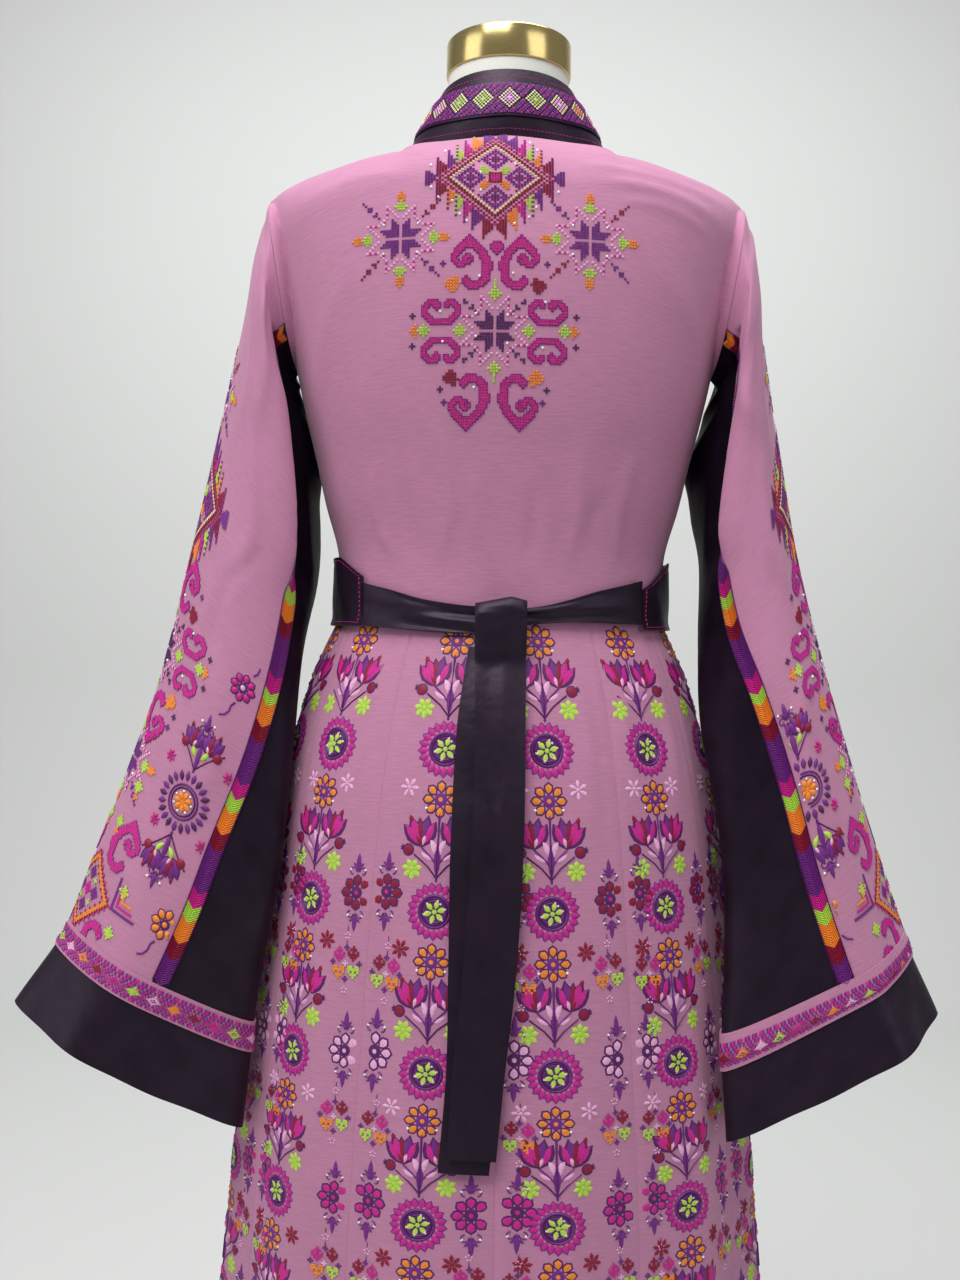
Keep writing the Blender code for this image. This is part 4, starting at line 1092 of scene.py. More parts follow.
# ---- skirt: twelve gores, each its own cloth ----
SKIRT_FOLDS = [
    # theta degrees at the waist, z0, theta degrees below, z1, width in degrees, height
    (-52, 1.000, -50, 0.880, 3.0, 0.0020), (-38, 0.995, -36, 0.860, 2.6, 0.0016), (-22, 0.990, -21, 0.870, 2.6, 0.0014),
    (22, 0.990, 21, 0.860, 2.6, 0.0016), (37, 0.995, 36, 0.880, 2.8, 0.0018), (53, 1.000, 50, 0.870, 3.0, 0.0020),
    (-45, 0.780, -44, 0.480, 4.0, 0.0022), (46, 0.760, 45, 0.450, 4.0, 0.0022), (-16, 0.700, -15, 0.300, 4.0, 0.0016),
    (15, 0.720, 16, 0.320, 4.0, 0.0016), (-75, 0.950, -72, 0.600, 4.0, 0.0026), (74, 0.950, 72, 0.600, 4.0, 0.0026),
    (-105, 0.990, -100, 0.650, 4.0, 0.0024), (104, 0.990, 101, 0.660, 4.0, 0.0024), (-130, 0.960, -134, 0.500, 4.5, 0.0022),
    (133, 0.970, 131, 0.520, 4.5, 0.0022), (-158, 0.980, -155, 0.600, 4.0, 0.0020), (157, 0.980, 156, 0.620, 4.0, 0.0020),
    (-118, 0.560, -121, 0.120, 5.0, 0.0026), (119, 0.540, 122, 0.100, 5.0, 0.0026), (-168, 0.520, -166, 0.120, 4.5, 0.0022), (167, 0.520, 168, 0.140, 4.5, 0.0022),
]


def skirt_cloth(theta, z):
    """Skirt surface with its soft folds and the seam grooves."""
    deg = np.degrees(theta)
    f = folds([(a, b * 100, c, d * 100, w, h) for a, b, c, d, w, h in SKIRT_FOLDS], deg, z * 100)
    seam = np.abs((deg + 15) % 30 - 15)
    groove = -0.0006 * np.exp(-((seam / 0.6) ** 2)) + 0.0005 * np.exp(-(((seam - 1.7) / 0.9) ** 2))
    p = skirt(theta, z)
    d = np.stack([np.sin(theta), -np.cos(theta), 0 * theta], -1)
    fade = smooth((WAIST_Z - z) / 0.02)
    return p + d * ((f + groove) * fade)[..., None]


# heights of the chart's rows and where they lie on the skirt: the rows close up a little downward
CHART_ROWS = (-0.1254, -0.0083, 0.1088, 0.2259, 0.3430, 0.4601, 0.5772, 0.6943, 0.8114, 0.9285, 1.0300)
SKIRT_ROWS = (-0.0300, 0.0740, 0.1780, 0.2820, 0.3860, 0.4900, 0.5943, 0.6974, 0.8114, 0.9285, 1.0300)
GORE_PANELS = []
SK_Z = WAIST_Z - 0.0005 - (WAIST_Z - 0.0005 - HEM_Z) * np.linspace(0, 1, 97) ** 1.05
GN = 21
for g in range(GORES):
    t0, t1 = (g - GORES / 2) * 2 * math.pi / GORES, (g + 1 - GORES / 2) * 2 * math.pi / GORES
    k, zz = grid(np.linspace(0, 1, GN), SK_Z)
    cut = 0.00004 / skirt_radii(zz)[1]
    theta = t0 + cut + (t1 - t0 - 2 * cut) * k
    p = skirt_cloth(theta, zz)
    e = 1e-4
    n = np.cross(skirt_cloth(theta + e, zz) - skirt_cloth(theta - e, zz), skirt_cloth(theta, zz + e) - skirt_cloth(theta, zz - e))
    n /= np.linalg.norm(n, axis=-1, keepdims=True)
    if (n * p * [1, 1, 0]).sum() < 0:
        n = -n
    middle = math.degrees((t0 + t1) / 2)
    where = "back" if abs(middle) < 90 else "front"
    name = "gore_%s_%d_%s" % (where, int(abs(middle) // 30) + 1, "left" if middle < 0 else "right")
    put(sheet_mesh("cloth_" + name, p, n, MAUVE), name)

    def gore_places(a, b, t0=t0, t1=t1):
        ra, rb = skirt_radii(np.interp(b, CHART_ROWS, SKIRT_ROWS))
        mid = (t0 + t1) / 2
        speed = np.sqrt((ra * math.cos(mid)) ** 2 + (rb * math.sin(mid)) ** 2)
        b = np.interp(b, CHART_ROWS, SKIRT_ROWS)
        k = (a / speed) / (t1 - t0) + 0.5
        depth = np.clip((WAIST_Z - 0.0005 - b) / (WAIST_Z - 0.0005 - HEM_Z), -0.01, 1.01)
        j = np.sign(depth) * np.abs(depth) ** (1 / 1.05)
        return k * (GN - 1), j * (len(SK_Z) - 1)

    panel = Panel(p, n, gore_places)
    panel.name, panel.middle = name, middle
    GORE_PANELS.append(panel)


# ---- sleeves ----
def resample(tube, start, stop, count, dense=1.0):
    """Grid of points and normals between two places round the sleeve, even by arc; start and stop are indices, stop may pass a full turn."""
    t, p, n = tube
    m = p.shape[1]
    idx = np.arange(start, stop + 1) % m
    seg_p, seg_n = p[:, idx], n[:, idx]
    d = np.linalg.norm(np.diff(seg_p, axis=1), axis=-1)
    arc = np.concatenate([np.zeros((len(t), 1)), np.cumsum(d, 1)], 1)
    out_p, out_n = np.empty((count, len(t), 3)), np.empty((count, len(t), 3))
    for r in range(len(t)):
        want = arc[r, -1] * (1 - (1 - np.linspace(0, 1, count)) ** dense)
        for c in range(3):
            out_p[:, r, c] = np.interp(want, arc[r], seg_p[r, :, c])
            out_n[:, r, c] = np.interp(want, arc[r], seg_n[r, :, c])
    out_n /= np.linalg.norm(out_n, axis=-1, keepdims=True)
    return out_p, out_n


def arc_panel(tube, ref, a0, a1, step, down):
    """Panel whose chart runs a metres round from index ref (plus is from the outer fold towards the back seam), b metres down as -down."""
    t, p, n = tube
    m = p.shape[1]
    reach = m // 2
    idx = np.arange(ref - reach, ref + reach + 1)
    seg_p, seg_n = p[:, idx % m], n[:, idx % m]
    d = np.linalg.norm(np.diff(seg_p, axis=1), axis=-1)
    arc = np.concatenate([np.zeros((len(t), 1)), np.cumsum(d, 1)], 1)
    arc -= arc[:, reach:reach + 1]
    want = np.arange(a0, a1 + step / 2, step)
    out_p, out_n = np.empty((len(want), len(t), 3)), np.empty((len(want), len(t), 3))
    for r in range(len(t)):
        for c in range(3):
            out_p[:, r, c] = np.interp(want, arc[r], seg_p[r, :, c])
            out_n[:, r, c] = np.interp(want, arc[r], seg_n[r, :, c])
    out_n /= np.linalg.norm(out_n, axis=-1, keepdims=True)
    rows = np.arange(len(t))

    def locate(a, b):
        s = -b
        row = np.interp(s, down, rows)
        row = np.where(s < down[0], -1.0, np.where(s > down[-1], len(t) + 1.0, row))
        return (a - a0) / step, row

    panel = Panel(out_p, out_n, locate)
    panel.ab = np.stack(np.broadcast_arrays(want[:, None], -down[None, :]), -1)
    return panel


SLEEVE_FOLDS = {
    # metres round from the outer fold, metres down, to the same, width, height
    "left": [
        (0.085, 0.010, 0.070, 0.150, 0.0075, 0.0035), (0.070, 0.150, 0.058, 0.300, 0.0090, 0.0022), (0.045, 0.020, 0.045, 0.170, 0.0080, 0.0020),
        (0.030, 0.200, 0.050, 0.330, 0.0110, 0.0018), (0.085, 0.240, 0.060, 0.350, 0.0080, -0.0022), (0.060, 0.330, 0.080, 0.450, 0.0120, 0.0022),
        (0.020, 0.380, 0.030, 0.560, 0.0130, 0.0018), (-0.040, 0.030, -0.045, 0.200, 0.0090, 0.0022), (-0.060, 0.220, -0.055, 0.400, 0.0110, 0.0022),
        (-0.030, 0.400, -0.040, 0.560, 0.0120, 0.0020), (-0.080, 0.380, -0.090, 0.540, 0.0110, -0.0018),
    ],
    "right": [
        (0.078, 0.010, 0.060, 0.150, 0.0075, 0.0035), (0.060, 0.150, 0.045, 0.290, 0.0090, 0.0022), (0.040, 0.020, 0.038, 0.180, 0.0080, 0.0020),
        (0.025, 0.210, 0.040, 0.340, 0.0110, 0.0018), (0.060, 0.250, 0.042, 0.350, 0.0080, -0.0022), (0.050, 0.340, 0.060, 0.470, 0.0120, 0.0022),
        (0.018, 0.380, 0.024, 0.560, 0.0130, 0.0018), (-0.040, 0.030, -0.045, 0.200, 0.0090, 0.0022), (-0.060, 0.220, -0.055, 0.400, 0.0110, 0.0022),
        (-0.030, 0.400, -0.040, 0.560, 0.0120, 0.0020), (-0.080, 0.380, -0.090, 0.540, 0.0110, -0.0018),
    ],
}
# where the deep fold beside the body shows, in picture places from the shoulder down
FOLD_PATH = {
    "left": ((255, 200), (261, 264), (269, 320), (278, 376), (285, 432), (292, 489), (296, 545), (296, 600)),
    "right": ((757, 200), (752, 256), (743, 320), (739, 404), (727, 489), (717, 553), (716, 600)),
}
INNER_REACH = {"left": 0.0070, "right": 0.0066}


def fold_edge(t, p, signed, back_arc, side):
    """Draws the cloth out to the edge of the deep fold beside the body and tucks what lies behind it."""
    out = 1 if side == "right" else -1
    path = np.array(FOLD_PATH[side], float)
    uv = project(p)
    k = np.arange(2 * PER + 1)
    edge, reach, tuck = np.zeros(len(t)), np.zeros(len(t)), np.zeros(len(t))
    for r in range(len(t)):
        u, v = uv[r, k, 0], uv[r, k, 1]
        gap = (u - np.interp(v, path[:, 1], path[:, 0])) * -out   # plus is past the fold's edge, towards the body
        scale = FOCUS / (p[r, 2 * PER, 1] - EYE[1])
        past = np.nonzero((gap[1:] >= 0) & (gap[:-1] < 0) & (k[1:] > PER // 2))[0]
        if len(past):
            i = past[-1]
            share = -gap[i] / max(gap[i + 1] - gap[i], 1e-6)
            edge[r] = signed[r, i] + share * (signed[r, i + 1] - signed[r, i])
        else:
            edge[r] = back_arc[r]
            reach[r] = max(0.0, -gap[-1]) / scale
        edge[r] = min(edge[r], back_arc[r] - 0.004)
        shown = smooth((v[-1] - (372 if side == "left" else 396)) / 30) * smooth((548 - v[-1]) / 18)
        tuck[r] = 0.003 + shown * min(0.013, max(0.0, (gap[-1] + 9.0) / scale))
        reach[r] += 0.0045 * shown + 0.002
    blur = np.hanning(21) / np.hanning(21).sum()
    edge, reach, tuck = (np.convolve(np.pad(x, 10, mode="edge"), blur, "valid") for x in (edge, reach, tuck))
    live = (smooth((t - 0.25) / 1.7) * smooth((6.5 - t) / 0.7))[:, None]
    q = edge[:, None] - signed
    lip = np.where(q >= 0, 1 - smooth((q - 0.002) / 0.042), 1 - smooth(-q / 0.006)) * reach[:, None]
    past_seam = signed - back_arc[:, None]
    behind = np.where(q < 0, smooth(-q / 0.007) * (1 - smooth((past_seam - 0.010) / 0.034)), 0)
    behind = np.where(np.arange(p.shape[1])[None, :] <= 3 * PER, behind, 0)
    move = np.stack([-out * lip + out * behind * tuck[:, None], -0.45 * lip + 0.0100 * behind, 0 * lip], -1)
    # the under-sleeve's inner fold leans towards the body
    i = np.arange(p.shape[1])
    grow = np.interp(t, [0.25, 0.7, 1.5, 2.3], [0, 1.25, 1.25, 1.0]) if side == "left" else smooth((t - 1.0) / 1.0)
    lean = np.exp(-(((i - 3.0 * PER) / (0.55 * PER)) ** 2))[None, :] * (INNER_REACH[side] * grow * smooth((4.6 - t) / 1.0))[:, None]
    move *= live[..., None]
    move[..., 0] -= out * lean * (1 if side == "left" else live)
    return p + move


SLEEVES = {}
for rows, side in ((SLEEVE_LEFT, "left"), (SLEEVE_RIGHT, "right")):
    t, p, n = sleeve_tube(rows, 157)
    m = p.shape[1]
    # the sleeve's head lies edge to edge with the bodice's armhole
    head = smooth(1 - t / 0.55)[:, None]
    out = 1 if side == "right" else -1
    p[..., 0] -= out * 0.0031 * head
    hole_z = np.clip((2 * p[..., 2] - ARMHOLE_LOW - ARMHOLE_HIGH) / (ARMHOLE_HIGH - ARMHOLE_LOW), -1, 1)
    hole_y = (ARMHOLE_HALF_D * np.sqrt(1 - hole_z**2) + 0.0004) * np.where(np.arange(m) < 3 * PER, -1, 1)[None, :]
    p[..., 1] += (hole_y - p[..., 1]) * smooth(1 - t / 0.75)[:, None]
    middle = p[:, PER]
    down = np.concatenate([[0], np.cumsum(np.linalg.norm(np.diff(middle, axis=0), axis=1))])
    # folds, faded out at the armhole, the seams' ribbon and the cuff
    d = np.linalg.norm(np.roll(p, -1, 1) - p, axis=-1)
    arc = np.concatenate([np.zeros((len(t), 1)), np.cumsum(d, 1)[:, :-1]], 1)
    whole = d.sum(1, keepdims=True)
    signed = np.where(np.arange(m)[None, :] <= 3 * PER, arc, arc - whole)
    f = folds(SLEEVE_FOLDS[side], signed, np.broadcast_to(down[:, None], signed.shape))
    back_arc, front_arc = arc[:, 2 * PER][:, None], (arc[:, 4 * PER] - whole[:, 0])[:, None]
    f = f * smooth((back_arc - signed) / 0.016 + 0.1) * smooth((signed - front_arc) / 0.016 + 0.1)
    f = f * smooth(down[:, None] / 0.03) * smooth((BAND_ROW - 0.2 - t)[:, None] / 1.2)
    p = p + n * f[..., None]
    p = fold_edge(t, p, signed, back_arc[:, 0], side)
    # the cuff's own soft waves
    cuff = smooth((t[:, None] - CUFF_ROW) / 1.0) * 0.0022 * np.sin(signed / whole * 2 * math.pi * 7 + (0.6 if side == "left" else 1.7))
    under = smooth(t[:, None] / 2) * smooth((signed - back_arc) / 0.02) * 0.0016 * np.sin(signed / 0.024 + t[:, None] * 0.35)
    under = np.where(np.arange(m)[None, :] < 3 * PER + PER // 2, under, 0) * smooth((3.4 * PER - np.arange(m)[None, :]) / PER)
    p = p + n * (cuff + under * smooth((BAND_ROW - t)[:, None]))[..., None]
    ds, dt = np.roll(p, -1, 1) - np.roll(p, 1, 1), np.gradient(p, axis=0)
    n2 = np.cross(ds, dt)
    n2 /= np.maximum(np.linalg.norm(n2, axis=-1, keepdims=True), 1e-12)
    if (n2 * n).sum() < 0:
        n2 = -n2
    tube = (t, p, n2)
    end = int(np.searchsorted(t, BAND_ROW - 0.01)) + 1
    arm = (t[:end], p[:end], n2[:end])
    sp, sn = resample(arm, 4 * PER, 8 * PER, 93, 1.45)
    put(sheet_mesh("sleeve_" + side, sp - sn * 0.0001, sn, MAUVE), "sleeve_outer_" + side)
    sp, sn = resample(arm, 2 * PER, 4 * PER, 41)
    # the under panel wears the satin's painted-shade copy
    put(sheet_mesh("sleeve_under_panel_" + side, sp - sn * 0.0003, sn, SATIN_PAINTED_SHADE), "sleeve_under_" + side)
    # the band laps a little over the sleeve's edge
    b0, b1 = int(np.searchsorted(t, BAND_ROW)) - 1, int(np.searchsorted(t, CUFF_ROW)) + 1
    bp, bn = p[b0:b1].transpose(1, 0, 2)[::2], n2[b0:b1].transpose(1, 0, 2)[::2]
    put(sheet_mesh("cuff_band_ground_" + side, bp + bn * 0.0012, bn, MAUVE, 0.0010, True), "cuff_band_" + side)
    cp, cn = p[b1 - 1:].transpose(1, 0, 2)[::2], n2[b1 - 1:].transpose(1, 0, 2)[::2]
    put(sheet_mesh("cuff_satin_" + side, cp - cn * 0.0002, cn, SATIN, 0.0013, True), "cuff_" + side)
    SLEEVES[side] = (tube, down, end, b0, b1)



# ---- cross-stitch figures, charted by rule ----
def outlined(chart, table, pitch, a, b, colour, width=0.0006):
    """Backstitch along every outer edge of a figure."""
    filled = set(table)
    for i, j in sorted(filled):
        for di, dj in ((1, 0), (-1, 0), (0, 1), (0, -1)):
            if (i + di, j + dj) not in filled:
                x, y = a + (i + di / 2) * pitch, b + (j + dj / 2) * pitch
                dx, dy = abs(dj) * pitch / 2, abs(di) * pitch / 2
                w = width / 2
                wx, wy = (w, 0) if dj == 0 else (0, w)
                x0, y0, x1, y1 = x - dx, y - dy, x + dx, y + dy
                chart.add([(x0 - wx, y0 - wy, 0), (x1 - wx, y1 - wy, 0), (x1, y1, 0.0005), (x0, y0, 0.0005), (x1 + wx, y1 + wy, 0), (x0 + wx, y0 + wy, 0)],
                          [(0, 1, 2), (0, 2, 3), (3, 2, 4), (3, 4, 5)], colour, 0.0)


def squashed_cells(chart, table, pitch, a, b, squash, height=0.00065):
    """Cross-stitches on a grid whose rows are closer than its columns."""
    small = Chart()
    cells(small, table, pitch, 0, 0, height)
    v, t, c, w = small.done()
    chart.v.append(v * [1, squash, 1] + [a, b, 0])
    chart.t.append(t + chart.n)
    chart.c.append(c)
    chart.w.append(w)
    chart.n += len(v)
    chart.whole = None


TEETH = ((1, 4), (5, 8), (9, 11), (12, 14), (15, 17), (18, 21))


def medallion():
    """Stepped diamond: a beaded frame with flag teeth all round and four lozenges inside."""
    out = {}
    for i in range(-27, 28):
        for j in range(-33, 34):
            ai, aj, m = abs(i), abs(j), abs(i) + abs(j)
            if m == 16:
                out[i, j] = CR
            elif m in (17, 20):
                out[i, j] = DR
            elif m in (18, 19) and (i + j) % 2 == 0 or m == 21 and i % 2 == 0:
                out[i, j] = MA if m != 18 else DR
            elif m == 14 and i % 2 == 0:
                out[i, j] = DR
            if m >= 22:
                k = [n for n, (first, last) in enumerate(TEETH) if first <= ai <= last]
                if k:
                    k = k[0]
                    first, last = TEETH[k]
                    c = (ai - first) / (last - first)
                    if m <= 24.5 + 6.5 * c:
                        if j < 0:
                            tooth = (DR, PU, MA, LI, OR, DR) if i < 0 else (DR, OR, MA, LI, PU, DR)
                        else:
                            tooth = (PU, OR, MA, LI, PU, DR) if i < 0 else (PU, PU, MA, LI, OR, DR)
                        out[i, j] = PU if ai == last and k > 1 and (i + j) % 2 else tooth[k]
                elif 22 <= ai <= 25 and aj <= 1.2 + (ai - 22) * 0.9:
                    out[i, j] = PU
    for ci, cj in ((-9, 0), (9, 0), (0, 9), (0, -9)):
        for i in range(-5, 6):
            for j in range(-5, 6):
                m = abs(i) + abs(j)
                if m in (5, 4, 2, 1):
                    out[ci + i, cj + j] = PU
                elif m == 0:
                    out[ci, cj] = DR
                elif m == 3 and (i == 0 or j == 0):
                    out[ci + i, cj + j] = MA
    for i in range(-2, 3):
        for j in range(-2, 3):
            out[i, j] = DR if max(abs(i), abs(j)) == 2 else MA
    corner = {(0, 2): 0, (1, 2): 0, (-1, 1): 0, (0, 1): 0, (1, 1): 0, (-2, 0): 0, (-1, 0): 0, (0, 0): 0, (1, 0): 0, (-1, -1): 0, (0, -1): 0}
    for s in (1, -1):
        for i, j in corner:
            out[-4 * s - i * s, 4 + j - 1] = LI
            out[-4 * s - i * s, -(4 + j - 1)] = OR
    return out


def star_figure():
    """Eight-pointed star and the zigzag line round it, by rule."""
    star, zig = set(), [(5, j) for j in range(8, 13)] + [(4, 11), (3, 10), (2, 9), (1, 8), (6, 7), (6, 6)]
    for i in range(1, 8):
        for j in range(1, 8):
            if min(i, j) <= 3 and abs(i - j) <= 4:
                star.add((i, j))
    zig = set(zig) | {(j, i) for i, j in zig}
    turn = [(1, 1), (1, -1), (-1, 1), (-1, -1)]
    return {(i * x, j * y): 0 for i, j in star for x, y in turn}, {(i * x, j * y): 0 for i, j in zig for x, y in turn}


LOZENGE = art(["..#..", ".###.", "#####", ".###.", "..#.."], {"#": 0})
SMALL_LOZENGE = art([".#.", "###", ".#."], {"#": 0})
HEART = art(["...##.", ".####.", "######", "#####.", ".####.", "..##.."], {"#": 0})
DROP = art(["..#..", ".###.", "#####", ".###."], {"#": 0})
TIP = art(["..#..", ".###.", ".###.", ".###."], {"#": 0})
ARROW = art(["..#", ".##", "###", ".##", "..#"], {"#": 0})
BUD = art([".###.", "#####", "#####", ".###.", "..#.."], {"#": 0})
SPRIG = [(0, 0), (1, 1), (2, 1), (1, 2), (3, 3), (4, 3), (3, 4), (4, 4), (5, 5), (6, 6)]
CURL = art([
    "......#........",
    ".....###.......",
    "....#####......",
    "...#######.....",
    "..#########....",
    ".####...####...",
    ".###.....####..",
    "###..##...###..",
    "##..####..####.",
    "###.##.#...###.",
    ".######....####",
    "..###......####",
    "...........####",
    "...........###.",
    "...........###.",
    ".....#.....###.",
    "....###...####.",
    "....#########..",
    ".....#######...",
    "......####.....",
], {"#": 0})
HORNS = art([
    "..####...###..",
    ".######.#####.",
    "###.###.##.###",
    "##...#......##",
    "##..........##",
    "###........###",
    ".###......###.",
    "..##########..",
    "...########...",
], {"#": 0})
P = 0.0021


def figure(chart, table, colour, a, b, mirror=False, flip=False, pitch=P, rim=None, turn=0):
    """Stamps a figure in one colour; rim outlines it, turn is quarter turns."""
    t = {}
    for i, j in table:
        x, y = (-i if mirror else i), (-j if flip else j)
        for _ in range(turn):
            x, y = -y, x
        t[x, y] = colour
    cells(chart, t, pitch, a, b)
    if rim is not None:
        outlined(chart, t, pitch, a, b, rim)


def two_pinks(table):
    return {k: PI if (k[0] + k[1]) % 2 else MA for k in table}


def full_star(chart, a, b, petals=PU):
    """Star with lime and orange drops at its four sides and sprigs on its diagonals."""
    star, zig = star_figure()
    cells(chart, tint(star, petals), P, a, b)
    cells(chart, two_pinks(zig), P, a, b, 0.0006)
    for n, (di, dj) in enumerate(((0, 1), (-1, 0), (0, -1), (1, 0))):
        d = 12.5
        figure(chart, DROP, LI, a + di * d * P, b + dj * d * P, turn=n)
        figure(chart, TIP, OR, a + di * (d + 3.6) * P, b + dj * (d + 3.6) * P, turn=n)
    for si, sj, colour in ((1, 1, DR), (-1, 1, PU), (1, -1, PU), (-1, -1, DR)):
        cells(chart, {(si * (i + 8), sj * (j + 8)): colour for i, j in SPRIG}, P, a, b)
    for si in (1, -1):
        for sj in (1, -1):
            gem(chart, a + si * 6.2 * P, b + sj * 5.4 * P)


def centre_piece(chart, a, b):
    """The yoke's composition under the medallion, round a star: curls, hearts and drops. (a, b) is the star's middle."""
    def at(x, y):
        return a + x * 0.001, b + y * 0.001

    star, zig = star_figure()
    cells(chart, tint(star, PL), P, a, b)
    cells(chart, two_pinks(zig), P, a, b)
    for s in (1, -1):
        figure(chart, CURL, MA, *at(-17.8 * s, 52), s < 0, rim=PU)
        figure(chart, CURL, MA, *at(-18.5 * s, -53), s < 0, True, rim=PU)
        figure(chart, HORNS, MA, *at(-40.5 * s, 14.2), s < 0, rim=PU)
        figure(chart, HORNS, MA, *at(-40.5 * s, -14.4), s < 0, True, rim=PU)
        figure(chart, LOZENGE, LI, *at(-26.3 * s, 0))
        figure(chart, LOZENGE, LI, *at(-53.5 * s, 0.3))
        figure(chart, ARROW, OR, *at(-61.5 * s, 0.3), s < 0)
        for x, y, colour in ((-62.0, 11.5, PL), (-62.0, -11.0, PL), (-40.5, -43.5, PL), (-39.5, 50.5, PU), (-37.5, -53.0, PU)):
            figure(chart, CROSS, colour, *at(x * s, y), pitch=0.0017)
        for k in (1, -1):
            cells(chart, {(-s * (i + 7), k * (j + 7)): PL for i, j in ((0, 0), (1, 1), (2, 1), (1, 2), (3, 3), (4, 3), (4, 4))}, P, a, b)
    figure(chart, HEART, OR, *at(-32.0, 35.0))
    figure(chart, HEART, DR, *at(33.0, 34.0), True)
    figure(chart, HEART, DR, *at(-32.5, -35.0), False, True)
    figure(chart, HEART, OR, *at(32.0, -35.0), True, True)
    figure(chart, BUD, MA, *at(0.8, 62.5), rim=PU)
    for s in (1, -1):
        figure(chart, LOZENGE, LI, *at(0, 27.8 * s))
        cells(chart, {(0, s * k): LI for k in (1, 2, 3)}, P, *at(0, 31.5 * s))
    for x, y in ((-12, 41), (14, 43.5), (-41, 14.5), (-14, 13), (10, 12), (-14, -4), (10, -9), (-39, -8), (37, -12), (38.5, 22), (-15, -42)):
        gem(chart, *at(x, y))


# ---- yoke ----
def spot(panel, u, v):
    """Chart place of the point of a panel that is seen at a picture place."""
    d = ((panel.px - np.array([u, v])) ** 2).sum(-1)
    d = d + np.where((panel.n * (panel.p - np.array(EYE))).sum(-1) > 0, 1e6, 0)
    i, j = np.unravel_index(np.argmin(d), d.shape)
    return float(panel.ab[i, j, 0]), float(panel.ab[i, j, 1])


def yoke_place(x, y):
    """Picture place of a point of the yoke, measured in fifths of a picture unit from its corner."""
    return spot(BACK, 370 + x / 4.976, 125 + y / 4.976)


yoke = Chart()
a, b = yoke_place(622, 262)
squashed_cells(yoke, medallion(), P, a, b, 0.86)
a, b = yoke_place(612, 1030)
centre_piece(yoke, a, b)
for x, y in ((137, 573), (1085, 578)):
    full_star(yoke, *yoke_place(x, y))
for x, y in ((310, 195), (373, 130), (287, 305), (338, 358), (395, 383), (432, 440), (490, 483), (813, 92), (840, 125), (936, 340),
             (838, 410), (787, 455), (733, 490), (550, 235), (710, 200), (555, 325)):
    gem(yoke, *yoke_place(x, y))
stitched("yoke_embroidery", yoke, BACK)

# ---- skirt ----
PITCH_Z = 0.1171
# how far each column stands from its gore's middle, at the first row and per row
COLUMN = {"gore_back_1_left": (0.0030, -0.0006), "gore_back_1_right": (-0.0095, -0.0003), "gore_back_2_left": (-0.0085, -0.0026), "gore_back_2_right": (-0.0090, 0.0)}
STITCH["fine"] = STITCH["pillow"] = False
unit = column_unit()
six = {PI: star_knot(6, 0.0078, PI, None, PI, 0.0030), DR: star_knot(7, 0.0078, DR, None, DR, 0.0034)}
flowers = [seam_flower(DR, MA), seam_flower(PI, PI), seam_flower(MA, MA)]
group = cluster()


def half_gore(middle, z):
    ra, rb = skirt_radii(z)
    m = math.radians(middle)
    return float(math.sqrt((ra * math.cos(m)) ** 2 + (rb * math.sin(m)) ** 2) * math.pi / GORES)


for panel in GORE_PANELS:
    c = Chart()
    for row in range(9):
        z = 0.9285 - row * PITCH_Z
        first, step = COLUMN.get(panel.name, (0.0, 0.0))
        dx = first + step * row
        c.stamp(unit, dx, z)
        half = half_gore(panel.middle, np.interp(z, CHART_ROWS, SKIRT_ROWS))
        for s in (1, -1):
            c.stamp(six[PI if row % 2 == 0 else DR], dx + s * min(0.0250, half - 0.012 - abs(dx)), z - 0.0285, 0.3 * s)
            if row >= 1 and half > 0.040:
                inset = 0.0128 if half < 0.0545 else 0.0165
                c.stamp(flowers[(row - 1) % 3], s * (half - inset), z + (0.009 if s > 0 else 0.012), s * 0.03, 1.02 if half < 0.052 else 1.12)
                c.stamp(group, s * (half_gore(panel.middle, np.interp(z - 0.048, CHART_ROWS, SKIRT_ROWS)) - 0.0172), z - (0.044 if s > 0 else 0.048), s * 0.03, 0.92, s > 0)
    stitched("embroidery_" + panel.name, c, panel, lambda v: v[:, 1] < WAIST_Z - 0.004)

# ---- sleeves ----
STITCH["pillow"] = True
hook = Chart()
line(hook, [(0.0, 0.0), (0.0018, 0.004), (0.0012, 0.009), (0.0030, 0.0135), (0.0066, 0.0165)], 0.0016, PU, 0.0007)
blossom = Chart()
blossom.stamp(daisy(8, 0.0042, 0.0066, 0.0052, MA, PI, PL, PL, core_r=0.0030))
blossom.stamp(hook, 0.0040, 0.0135, -0.2)
blossom.stamp(hook, -0.0010, -0.0135, math.pi - 0.1)
blossom_orange = Chart()
blossom_orange.stamp(daisy(8, 0.0042, 0.0072, 0.0056, OR, OR, PL, PL, core_r=0.0030))
blossom_orange.stamp(hook, 0.0050, 0.0130, -0.3)
blossom_orange.stamp(hook, -0.0015, -0.0140, math.pi - 0.1)
sun = Chart()
for k in range(21):
    ang = 2 * math.pi * (k + 0.5) / 21
    leaf(sun, 0.0150 * math.sin(ang), 0.0150 * math.cos(ang), ang, 0.0084, 0.0044, PL if k % 2 else PU, 0.0009, 8)
ring(sun, 0, 0, 0.0128, 0.0018, PU, 0.0008, 22)
ring(sun, 0, 0, 0.0104, 0.0016, PL, 0.0006, 20)
sun.stamp(star_knot(7, 0.0085, OR, None, OR, 0.0046))
for k in range(7):
    ang = 2 * math.pi * (k + 0.75) / 7
    gem(sun, 0.0078 * math.sin(ang), 0.0078 * math.cos(ang), 0.0010)
branch = Chart()
line(branch, [(0, 0.0), (0, 0.030)], 0.0020, PU, 0.0008)
leaf(branch, 0, 0.001, 0, 0.021, 0.0050, PU, 0.0010, 8, True)
branch.stamp(fleur(), 0, 0.0300)
flower_cup = tulip()
